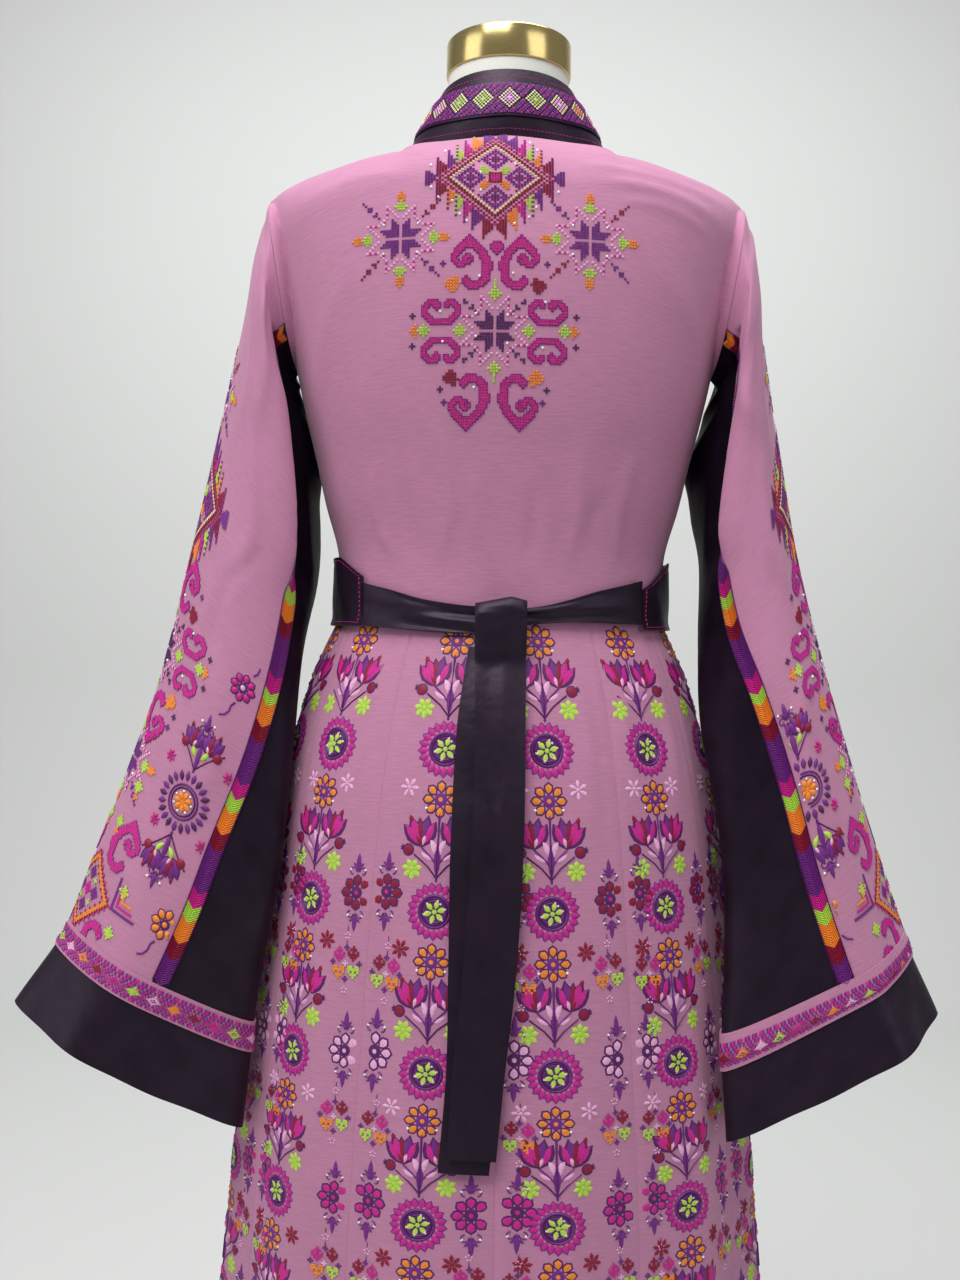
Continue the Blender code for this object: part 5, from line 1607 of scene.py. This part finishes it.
for s in (1, -1):
    line(branch, [(0, 0.002), (s * 0.0070, 0.0100), (s * 0.0130, 0.0160)], 0.0012, PL, 0.0006)
    oval(branch, s * 0.0155, 0.0180, 0.0040, 0.0040, DR, 0.0013, 9)
    leaf(branch, s * 0.0185, 0.0200, s * 0.9, 0.0034, 0.0018, PL, 0.0006, 6, low=True)
    leaf(branch, s * 0.0020, 0.0105, s * 0.55, 0.0110, 0.0044, LI, 0.0010, 8, bend=s * 0.001)
    branch.stamp(flower_cup, s * 0.0078, 0.0165, 0, 0.92, s < 0, {MA: PU})
    gem(branch, s * 0.0060, 0.0385)
small_star = star_knot(7, 0.0052, MA, None, MA, 0.0020)


def low_medallion(chart, a, b):
    """Zigzag diamond with small figures inside and nested corners at its sides."""
    t = {}
    for i in range(-15, 16):
        for j in range(-15, 16):
            m = abs(i) + abs(j)
            if m == 13 or m == 12:
                t[i, j] = OR
            elif m == 14 or m == 11 and i % 2 == 0:
                t[i, j] = DR
            elif m == 15 and i % 2:
                t[i, j] = MA
    cells(chart, t, P, a, b)
    for ci, cj, colour in ((0, 6, PU), (0, -6, PU), (-5, 0, PU), (5, 0, PU), (0, 0, MA)):
        figure(chart, LOZENGE, colour, a + ci * P, b + cj * P)
    for ci in (-3.5, 3.5):
        for cj in (-4, 4):
            figure(chart, CROSS, LI, a + ci * P, b + cj * P, pitch=0.0016)
    for s in (1, -1):
        for k, colour, reach in ((0, PU, 12), (2, MA, 8), (4, OR, 5)):
            arm = {(s * (16 + k), j + k): colour for j in range(reach)}
            arm.update({(s * (16 + k + i), k): colour for i in range(reach)})
            cells(chart, arm, P, a, b)


# picture places of the sleeves' figures
PLACES = {
    "left": dict(med=(206, 505), star=(226, 389), blossom=(243, 690), sun=(185, 799), orange=(165, 925), low=(90, 890), third=(140, 765),
                 stars=((226, 782), (155, 819), (202, 844), (171, 757))),
    "right": dict(med=(783, 505), star=(764, 389), blossom=(741, 690), sun=(806, 787), orange=(826, 915), low=(890, 880), third=(848, 755),
                  stars=((764, 776), (836, 806), (788, 836), (820, 748))),
}
RIBBON_RUN = ((MA, 0.0125), (LI, 0.0110), (OR, 0.0165), (DR, 0.0130), (PU, 0.0340))
for side, (tube, down, end, b0, b1) in SLEEVES.items():
    t, p, n = tube
    arm = (t[:end + 2], p[:end + 2], n[:end + 2])
    arm_down = down[:end + 2]
    outer = arc_panel(arm, 0, -0.150, 0.150, 0.0015, arm_down)
    pl = PLACES[side]
    c = Chart()
    inward = 0.0150   # the low figures lie a little behind the outer fold
    b_med = spot(outer, *pl["med"])[1]
    squashed_cells(c, medallion(), P, 0.0, b_med, 1.0)
    centre_piece(c, 0.0, b_med - 0.1165)
    b_star = spot(outer, *pl["star"])[1]
    full_star(c, 0.0, b_star)
    b_low = spot(outer, *pl["low"])[1]
    low_medallion(c, inward, b_low)
    full_star(c, 0.0040, spot(outer, *pl["third"])[1])
    for s in (1, -1):
        figure(c, CURL, MA, inward + s * 0.0240, b_low + 0.045, s > 0, rim=PU)
        figure(c, CURL, MA, inward + s * 0.0270, b_low - 0.036, s > 0, True, rim=PU)
        for y in (0.016, -0.016):
            figure(c, LOZENGE, LI, inward + s * 0.0400, b_low + y)
        figure(c, LOZENGE, LI, inward + s * 0.010, b_low + 0.058)
        figure(c, SMALL_LOZENGE, OR, inward + s * 0.010, b_low + 0.050)
        figure(c, LOZENGE, LI, 0.004 + s * 0.0270, spot(outer, *pl["third"])[1] - 0.016)
        figure(c, SMALL_LOZENGE, OR, 0.004 + s * 0.0270, spot(outer, *pl["third"])[1] - 0.024)
    half = Chart()
    half.stamp(blossom, *spot(outer, *pl["blossom"]), -0.15)
    a, b = spot(outer, *pl["sun"])
    half.stamp(sun, a, b)
    half.stamp(branch, a, b + 0.0235)
    half.stamp(branch, a, b - 0.0235, math.pi)
    half.stamp(blossom_orange, *spot(outer, *pl["orange"]), -0.1)
    for q in pl["stars"]:
        half.stamp(small_star, *spot(outer, *q))
    c.stamp(half)
    c.stamp(half, mirror=True)
    # the ribbon lies over the seams, so stitches stop short of them
    step = np.linalg.norm(np.roll(p, -1, 1) - p, axis=-1)
    arc = np.concatenate([np.zeros((len(t), 1)), np.cumsum(step, 1)[:, :-1]], 1)
    back_arc, front_arc = arc[:, 2 * PER], arc[:, 4 * PER] - step.sum(1)

    def keep(v, down=down, back_arc=back_arc, front_arc=front_arc, down_end=float(down[end])):
        s = -v[:, 1]
        return (v[:, 0] < np.interp(s, down, back_arc) - 0.0070) & (v[:, 0] > np.interp(s, down, front_arc) + 0.0070) & (s < down_end - 0.0055)

    stitched("embroidery_sleeve_" + side, c, outer, keep)

    # chevron ribbon over both seams
    for which, ref in (("back", 2 * PER), ("front", 4 * PER)):
        strip = arc_panel(arm, ref, -0.0084, 0.0084, 0.0012, arm_down)
        length = float(down[end]) - 0.0048
        r = Chart()
        edges = np.cumsum([0] + [x[1] for x in RIBBON_RUN])
        pick, drop, w = 0.0019, 0.0052, TRIM_W / 2
        for q in range(int(length / pick)):
            s0 = 0.0015 + q * pick
            if s0 + drop > length - 0.001:
                continue
            phase = (s0 + (0.030 if which == "back" else 0.05)) % edges[-1]
            colour = RIBBON_RUN[int(np.searchsorted(edges, phase, "right")) - 1][0]
            for s in (1, -1):
                line(r, [(s * w, -s0), (s * w * 0.55, -s0 - drop * 0.5), (0.0, -s0 - drop)], pick * 1.12, colour, 0.0013)
        for s in (1, -1):
            ys = -np.arange(0.0012, length - 0.001, 0.004)
            line(r, np.column_stack([np.full(len(ys), s * (w + 0.0004)), ys]), 0.0010, PL, 0.0010)
        rows_down = arm_down <= length
        g_p, g_n = strip.p[2:-2][:, rows_down], strip.n[2:-2][:, rows_down]
        put(sheet_mesh("ribbon_ground_%s_%s" % (which, side), g_p + g_n * 0.0003, g_n, GROUND, 0.0009), "trim_%s_%s" % (which, side))
        stitched("ribbon_%s_%s" % (which, side), r, strip)

    # cuff band: a close lattice with a row of small diamonds
    ring_p, ring_n = p[b0:b1], n[b0:b1]
    loop = ring_p[(b1 - b0) // 2]
    around_arc = np.concatenate([[0], np.cumsum(np.linalg.norm(np.roll(loop, -1, 0) - loop, axis=1))])
    ring_p = ring_p + ring_n * 0.0012
    gp = np.concatenate([ring_p, ring_p[:, :1]], 1).transpose(1, 0, 2)
    gn = np.concatenate([ring_n, ring_n[:, :1]], 1).transpose(1, 0, 2)
    high = float(np.linalg.norm(ring_p[-1] - ring_p[0], axis=-1)[PER])

    def band_places(a, b, around_arc=around_arc, rows=b1 - b0, high=(2 * int(high / 0.00153 / 2) + 1) * 0.00153 * 1.04):
        return np.interp(a, around_arc, np.arange(len(around_arc))), (0.5 - b / high) * (rows - 1)

    band = Panel(gp, gn, band_places)
    count = int(round(around_arc[-1] / 0.00153 / 50)) * 50
    pitch = float(around_arc[-1] / count)
    rows = int(high / 0.00153 / 2)
    lattice = {}
    order = (LI, PI, OR, DR, MA)
    for i in range(count):
        block, place = divmod(i, 10)
        x = place - 5
        for j in range(-rows, rows + 1):
            m = abs(x) + abs(j)
            if m <= 3:
                lattice[i + 0.5, j] = order[block % 5] if m != 1 or block % 2 else PU
            elif abs(j) == rows:
                lattice[i + 0.5, j] = MA if i % 3 else PU
            elif m == 5 and i % 2:
                lattice[i + 0.5, j] = MA
            elif m > 4 and (i + j) % 2 == 0:
                lattice[i + 0.5, j] = PU
            elif m > 5 and (i - j) % 4 == 1:
                lattice[i + 0.5, j] = MA
    c = Chart()
    cells(c, lattice, pitch, 0, 0, 0.0006)
    stitched("cuff_band_" + side, c, band)

# ---- collar band ----
mid = band_p[:, 5]
collar_arc = np.concatenate([[0], np.cumsum(np.linalg.norm(np.diff(mid, axis=0), axis=1))])
collar_arc -= collar_arc[len(collar_arc) // 2]
tall = float(np.linalg.norm(band_p[len(collar_arc) // 2, -1] - band_p[len(collar_arc) // 2, 0]))


def collar_places(a, b):
    return np.interp(a, collar_arc, np.arange(len(collar_arc)), -1, len(collar_arc) + 1), (b / tall + 0.5) * (band_p.shape[1] - 1)


COLLAR = Panel(band_p, band_n, collar_places)
c = Chart()
pitch = 0.00150
rows = int(tall / pitch / 2)
count = int(collar_arc[-1] / pitch) - 1
lattice = {}
order = (PI, LI, LI, PI, OR, MA)
for i in range(-count, count + 1):
    block = int(math.floor((i + 7) / 14))
    x = i - block * 14
    for j in range(-rows, rows + 1):
        m = abs(x) + abs(j)
        if m <= 3:
            lattice[i, j] = order[(abs(block) + (1 if block > 0 else 0)) % 6] if m != 2 else PU
        elif m == 5:
            lattice[i, j] = CR
        elif m > 6:
            if (i + j) % 2 == 0:
                lattice[i, j] = PU if (i * 3 + j) % 5 else MA
            elif (i - j) % 4 == 1:
                lattice[i, j] = PL
cells(c, lattice, pitch, 0, 0, 0.0006)
stitched("collar_embroidery", c, COLLAR)



# ---- belt ----
theta, h = grid(np.radians(np.linspace(BELT_END_RIGHT, 360 + BELT_END_LEFT, 241)), np.linspace(0, 1, 21))
deg = np.degrees(theta)
# both ends are cut down to the ties on a slant
high = BELT_HIGH - 0.0235 * (1 - np.clip((deg - BELT_END_RIGHT) / 27, 0, 1)) - 0.0165 * (1 - np.clip((360 + BELT_END_LEFT - deg) / 19, 0, 1))
z = BELT_LOW + (high - BELT_LOW) * h
p = waist(theta, z, BELT_OFF)
n = normals(p, p * [1, 1, 0])
hem = 0.0005 * np.exp(-(((h - 0.075) / 0.03) ** 2)) + 0.0005 * np.exp(-(((h - 0.925) / 0.03) ** 2))
wave = 0.0007 * np.sin(theta * 9 + 1.3) * np.sin(math.pi * h) + 0.0005 * np.sin(theta * 17 + 4 * h)
p = p + n * (wave - hem)[..., None]
n = normals(p, p * [1, 1, 0])
belt_p, belt_n = p, n
put(sheet_mesh("belt_satin", p, n, SATIN, 0.0014), "belt_front")


def top_stitches(name, runs, colour, length=0.0026, pitch=0.0036, width=0.0007, height=0.0005):
    """Rows of separate raised stitches along lines on the cloth; a run is points and normals."""
    verts, quads, tris = [], [], []
    for pts, nrm in runs:
        step = np.linalg.norm(np.diff(pts, axis=0), axis=1)
        arc = np.concatenate([[0], np.cumsum(step)])
        at = np.arange(0.001, arc[-1] - length, pitch)

        def on(x, data):
            return np.stack([np.interp(x, arc, data[:, c]) for c in range(3)], -1)

        a, b = on(at, pts), on(at + length, pts)
        nn = on(at + length / 2, nrm)
        nn /= np.linalg.norm(nn, axis=1, keepdims=True)
        d = (b - a) / np.linalg.norm(b - a, axis=1, keepdims=True)
        w = np.cross(nn, d) * width / 2
        base = len(verts) * 6
        block = np.stack([a - w, b - w, b + w, a + w, a + d * length * 0.22 + nn * height, b - d * length * 0.22 + nn * height], 1)
        block[:, :4] -= (nn * 0.0001)[:, None]
        for v in block:
            k = len(verts) * 6
            verts.append(v)
            quads += [(k, k + 1, k + 5, k + 4), (k + 2, k + 3, k + 4, k + 5), (k + 3, k + 2, k + 1, k)]
            tris += [(k + 1, k + 2, k + 5), (k + 3, k, k + 4)]
    v = np.concatenate(verts)
    o = make_mesh(name, v, quads, tris, [TINT[colour]], None, np.stack([v[:, 0], v[:, 2]], 1))
    put(o, None)
    return o


runs = [(belt_p[1:-1, 1], belt_n[1:-1, 1]), (belt_p[1:-1, -2], belt_n[1:-1, -2]), (belt_p[2, 1:-1], belt_n[2, 1:-1]), (belt_p[-3, 1:-1], belt_n[-3, 1:-1])]
top_stitches("belt_topstitch", runs, MA)
top_stitches("collar_topstitch", [(collar_p[3:-3, 2], collar_n[3:-3, 2]), (collar_p[3:-3, 18], collar_n[3:-3, 18])], MA, 0.0022, 0.0031, 0.0006, 0.0004)

TIES = {}
for side, table, phase in (("left", TIE_LEFT, 0.0), ("right", TIE_RIGHT, 1.1)):
    # the tie runs in behind the knot
    aa, h = grid(np.linspace(table[0, 0] - (2.6 if side == "right" else 0.0), table[-1, 0] + (2.6 if side == "left" else 0.0), 91), np.linspace(0, 1, 23))
    held = np.clip(aa, table[0, 0], table[-1, 0])
    z = cubic(table, held, 1) * (1 - h) + cubic(table, held, 2) * h
    p = waist(np.radians(aa), z, BELT_OFF)
    n = normals(p, p * [1, 1, 0])
    # gathers run from the knot and spread out along the tie
    near = 1 - smooth(np.abs(aa - 0) / 50) * 0.80
    gather = 0.0017 * near * (np.sin(h * 7.5 + phase + aa * 0.10) + 0.25 * np.sin(h * 16 - aa * 0.06 + 2 * phase))
    gather = gather * smooth(h / 0.10) * smooth((1 - h) / 0.10) - 0.0004
    p = p + n * gather[..., None]
    n = normals(p, p * [1, 1, 0])
    TIES[side] = (p, n)
    put(sheet_mesh("tie_" + side, p, n, SATIN, 0.0013), "belt_tie_" + side)

# knot: the front tail's strip folded over the belt, its face running straight down into the tail
KNOT_LOOP = np.array([(-0.1190, 1.0085), (-0.1213, 1.0180), (-0.1230, 1.0300), (-0.1215, 1.0380), (-0.1165, 1.0430), (-0.1100, 1.0410), (-0.1065, 1.0300),
                      (-0.1060, 1.0150), (-0.1085, 1.0095), (-0.1140, 1.0070)])
loop = around(np.column_stack([KNOT_LOOP, np.zeros(len(KNOT_LOOP))]), 8)[:, :2]
turn, k = grid(np.linspace(-math.pi / 2 + 0.10, math.pi / 2 - 0.10, 41), np.arange(len(loop)))
across = np.sin(turn) / math.sin(math.pi / 2 - 0.10)
y, z = loop[k, 0], loop[k, 1]
upper = smooth((z - 1.026) / 0.017)
z = z + upper * (np.interp(across, [-1, 0.4, 1], [1.0375, 1.0430, 1.0400]) - 1.0430)
thick = (1 - np.abs(across) ** 7) ** 0.5 * 0.94 + 0.06
core = -0.1152
front = smooth((core - y) / 0.006)
crease = 0.0011 * np.exp(-(((z - 1.0230 - 0.0075 * across) / 0.0040) ** 2)) + 0.0008 * np.exp(-(((z - 1.0335 + 0.0050 * across) / 0.0030) ** 2))
y = core + (y - core) * thick + front * crease * thick
wide = np.interp(z, [1.007, 1.043], [0.01925, 0.0196])
p = np.stack([-0.0010 + across * wide, y, z], -1)
ni, nj = p.shape[:2]
i, j = np.meshgrid(np.arange(ni - 1), np.arange(nj), indexing="ij")
i, j, j2 = i.ravel(), j.ravel(), ((j + 1) % nj).ravel()
quads = np.stack([i * nj + j, i * nj + j2, (i + 1) * nj + j2, (i + 1) * nj + j], 1)
verts = np.vstack([p.reshape(-1, 3), p[0].mean(0), p[-1].mean(0)])
k1 = np.arange(nj)
k2 = (k1 + 1) % nj
caps = np.vstack([np.stack([k2, k1, np.full(nj, ni * nj)], 1), np.stack([(ni - 1) * nj + k1, (ni - 1) * nj + k2, np.full(nj, ni * nj + 1)], 1)])
uv = np.vstack([np.stack([across * 0.02, z], -1).reshape(-1, 2), [[0, 1.02], [0, 1.02]]])
knot = make_mesh("knot", verts, quads, caps, [SATIN], None, uv)
put(knot, "belt_knot")

TAILS = {}
for name, table, out, phase in (("front", TAIL_FRONT, TAIL_FRONT_OFF, 0.3), ("back", TAIL_BACK, TAIL_BACK_OFF, 1.9)):
    front = name == "front"
    k, z = grid(np.linspace(-0.5, 0.5, 25), np.linspace(table[0, 0], 1.0426 if front else table[-1, 0], 125))
    held = np.minimum(z, table[-1, 0])
    x = cubic(table, held, 1) + cubic(table, held, 2) * k
    p = tail(x, z, out)
    if front:
        # the strip goes on up over the knot's face
        share = smooth((z - 0.985) / 0.024)
        x = x * (1 - share) + (-0.0010 + 2 * 0.0198 * k) * share
        over = np.interp(z, [0.985, 1.0085, 1.0180, 1.0300, 1.0380, 1.0415, 1.0430], [-0.1192, -0.1206, -0.1224, -0.1240, -0.1226, -0.1202, -0.1172]) - 0.0012
        crease = 0.0009 * np.exp(-(((z - 1.0200 - 0.017 * k) / 0.0040) ** 2)) + 0.0007 * np.exp(-(((z - 1.0325 + 0.012 * k) / 0.0030) ** 2))
        y = p[..., 1] * (1 - share) + (over + crease + 0.0026 * np.abs(2 * k) ** 9) * share
        z2 = z + smooth((z - 1.026) / 0.017) * (np.interp(2 * k, [-1, 0.4, 1], [1.0375, 1.0430, 1.0400]) - 1.0430)
        p = np.stack([x, y, z2], -1)
    n = normals(p, np.array([0, -1, 0]))
    top = smooth((z - 0.93) / 0.07)
    wave = (0.0008 * np.sin(z * 31 + phase) * (0.4 + k) + 0.0005 * np.sin(z * 67 + 3 * k + phase) + 0.0008 * top * np.sin(k * 9 + phase)
            + 0.0007 * np.exp(-(((k - 0.06 * np.sin(z * 9)) / 0.12) ** 2)))
    wave = wave * (1 - smooth((z - 0.985) / 0.02)) if front else wave
    p = p + n * (wave * 0.8 - 0.0004)[..., None]
    n = normals(p, np.array([0, -1, 0]))
    TAILS[name] = (p, n)
    put(sheet_mesh("tail_" + name, p, n, SATIN, 0.0013), "belt_tail_" + name)


# ---- form ----
def revolve(name, profile, mat, sides=128, cap=True):
    a = np.linspace(0, 2 * math.pi, sides + 1)[:-1]
    prof = np.asarray(profile, float)
    p = np.stack([prof[:, None, 1] * np.cos(a), prof[:, None, 2] * np.sin(a), prof[:, None, 0] + 0 * a[None, :]], -1)
    ni, nj = p.shape[:2]
    i, j = np.meshgrid(np.arange(ni - 1), np.arange(nj), indexing="ij")
    i, j, j2 = i.ravel(), j.ravel(), ((j + 1) % nj).ravel()
    quads = np.stack([i * nj + j, i * nj + j2, (i + 1) * nj + j2, (i + 1) * nj + j], 1)
    verts = np.vstack([p.reshape(-1, 3), p[0].mean(0), p[-1].mean(0)])
    k = np.arange(nj)
    k2 = (k + 1) % nj
    caps = np.vstack([np.stack([k2, k, np.full(nj, ni * nj)], 1), np.stack([(ni - 1) * nj + k, (ni - 1) * nj + k2, np.full(nj, ni * nj + 1)], 1)])
    return make_mesh(name, verts, quads, caps, [mat], None, None, True, 40)


zs = np.linspace(TORSO[0, 0], TORSO[-1, 0], 220)
torso = revolve("dress_form", np.column_stack([zs, cubic(TORSO, zs, 1) - 0.0002, cubic(TORSO, zs, 2) - 0.0002]), COVER, 72)
put(torso, "form_torso")
r = CAP_R
cap = revolve("neck_cap", [(CAP_LOW, r - 0.0010, r - 0.0010), (CAP_LOW + 0.0003, r - 0.0004, r - 0.0004), (CAP_LOW + 0.001, r, r), (CAP_HIGH - 0.0022, r, r),
                           (CAP_HIGH - 0.0010, r - 0.0003, r - 0.0003), (CAP_HIGH - 0.0003, r - 0.0010, r - 0.0010), (CAP_HIGH, r - 0.0022, r - 0.0022)], BRASS, 160)
put(cap, "form_neck_cap")
for node in ("form_pole", "form_flange", "form_base"):
    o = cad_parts[node]
    o.data.materials.clear()
    o.data.materials.append(STEEL)



# ---- room and light ----
def backdrop():
    m, nodes, links, s = new_material("backdrop")
    s.inputs["Base Color"].default_value = (0.705, 0.715, 0.705, 1)
    s.inputs["Roughness"].default_value = 0.95
    s.inputs["Specular IOR Level"].default_value = 0.1
    y = np.concatenate([np.linspace(-6.0, 2.5, 12), 2.5 + 0.9 * np.sin(np.linspace(0, math.pi / 2, 22))[1:], np.full(10, 3.4)])
    z = np.concatenate([np.zeros(12), 0.9 * (1 - np.cos(np.linspace(0, math.pi / 2, 22)))[1:], np.linspace(0.9, 5.2, 11)[1:]])
    x = np.linspace(-7.0, 7.0, 9)
    p = np.stack(np.broadcast_arrays(x[:, None], y[None, :], z[None, :]), -1)
    i, j = np.meshgrid(np.arange(8), np.arange(len(y) - 1), indexing="ij")
    i, j, nj = i.ravel(), j.ravel(), len(y)
    quads = np.stack([i * nj + j, (i + 1) * nj + j, (i + 1) * nj + j + 1, i * nj + j + 1], 1)
    o = make_mesh("floor_and_backdrop", p, quads, None, [m])
    o.location.z = -0.0005
    return o


backdrop()


def area(name, place, target, size, power, colour=(1, 1, 1)):
    light = bpy.data.lights.new(name, "AREA")
    light.shape = "RECTANGLE"
    light.size, light.size_y = size
    light.energy = power
    light.color = colour
    o = link(bpy.data.objects.new(name, light))
    d = np.array(target, float) - np.array(place, float)
    from mathutils import Vector
    o.rotation_euler = Vector(d).to_track_quat("-Z", "Y").to_euler()
    o.location = place
    return o


area("key", (-0.7, -1.5, 3.1), (0.0, 0.0, 1.30), (1.6, 1.2), 42, (1.0, 0.985, 0.97))
area("fill", (1.9, -1.6, 1.9), (0.0, 0.0, 1.1), (1.4, 1.6), 9, (0.97, 0.98, 1.0))
area("side", (-2.0, -0.8, 1.6), (0.0, 0.0, 1.0), (1.2, 1.8), 9, (0.98, 0.99, 1.0))
area("top", (0.1, -0.1, 3.2), (0.0, 0.0, 1.2), (2.0, 1.4), 46)
area("wall", (0.0, 1.5, 3.0), (0.0, 3.4, 1.6), (3.6, 0.9), 40)
world = bpy.data.worlds.new("room")
bpy.context.scene.world = world
world.use_nodes = True
world.node_tree.nodes["Background"].inputs["Color"].default_value = (0.86, 0.87, 0.88, 1)
world.node_tree.nodes["Background"].inputs["Strength"].default_value = 0.25
bpy.context.scene.view_settings.view_transform = "Standard"

cam_data = bpy.data.cameras.new("camera")
cam_data.lens = FOCUS / 1280 * 36
cam_data.sensor_width = 36
cam_data.clip_start, cam_data.clip_end = 0.05, 20
cam = link(bpy.data.objects.new("camera", cam_data))
cam.matrix_world = Matrix.Translation(EYE) @ Matrix.Rotation(math.pi / 2, 4, "X") @ Matrix.Rotation(math.atan(ROLL), 4, "Z")
bpy.context.scene.camera = cam
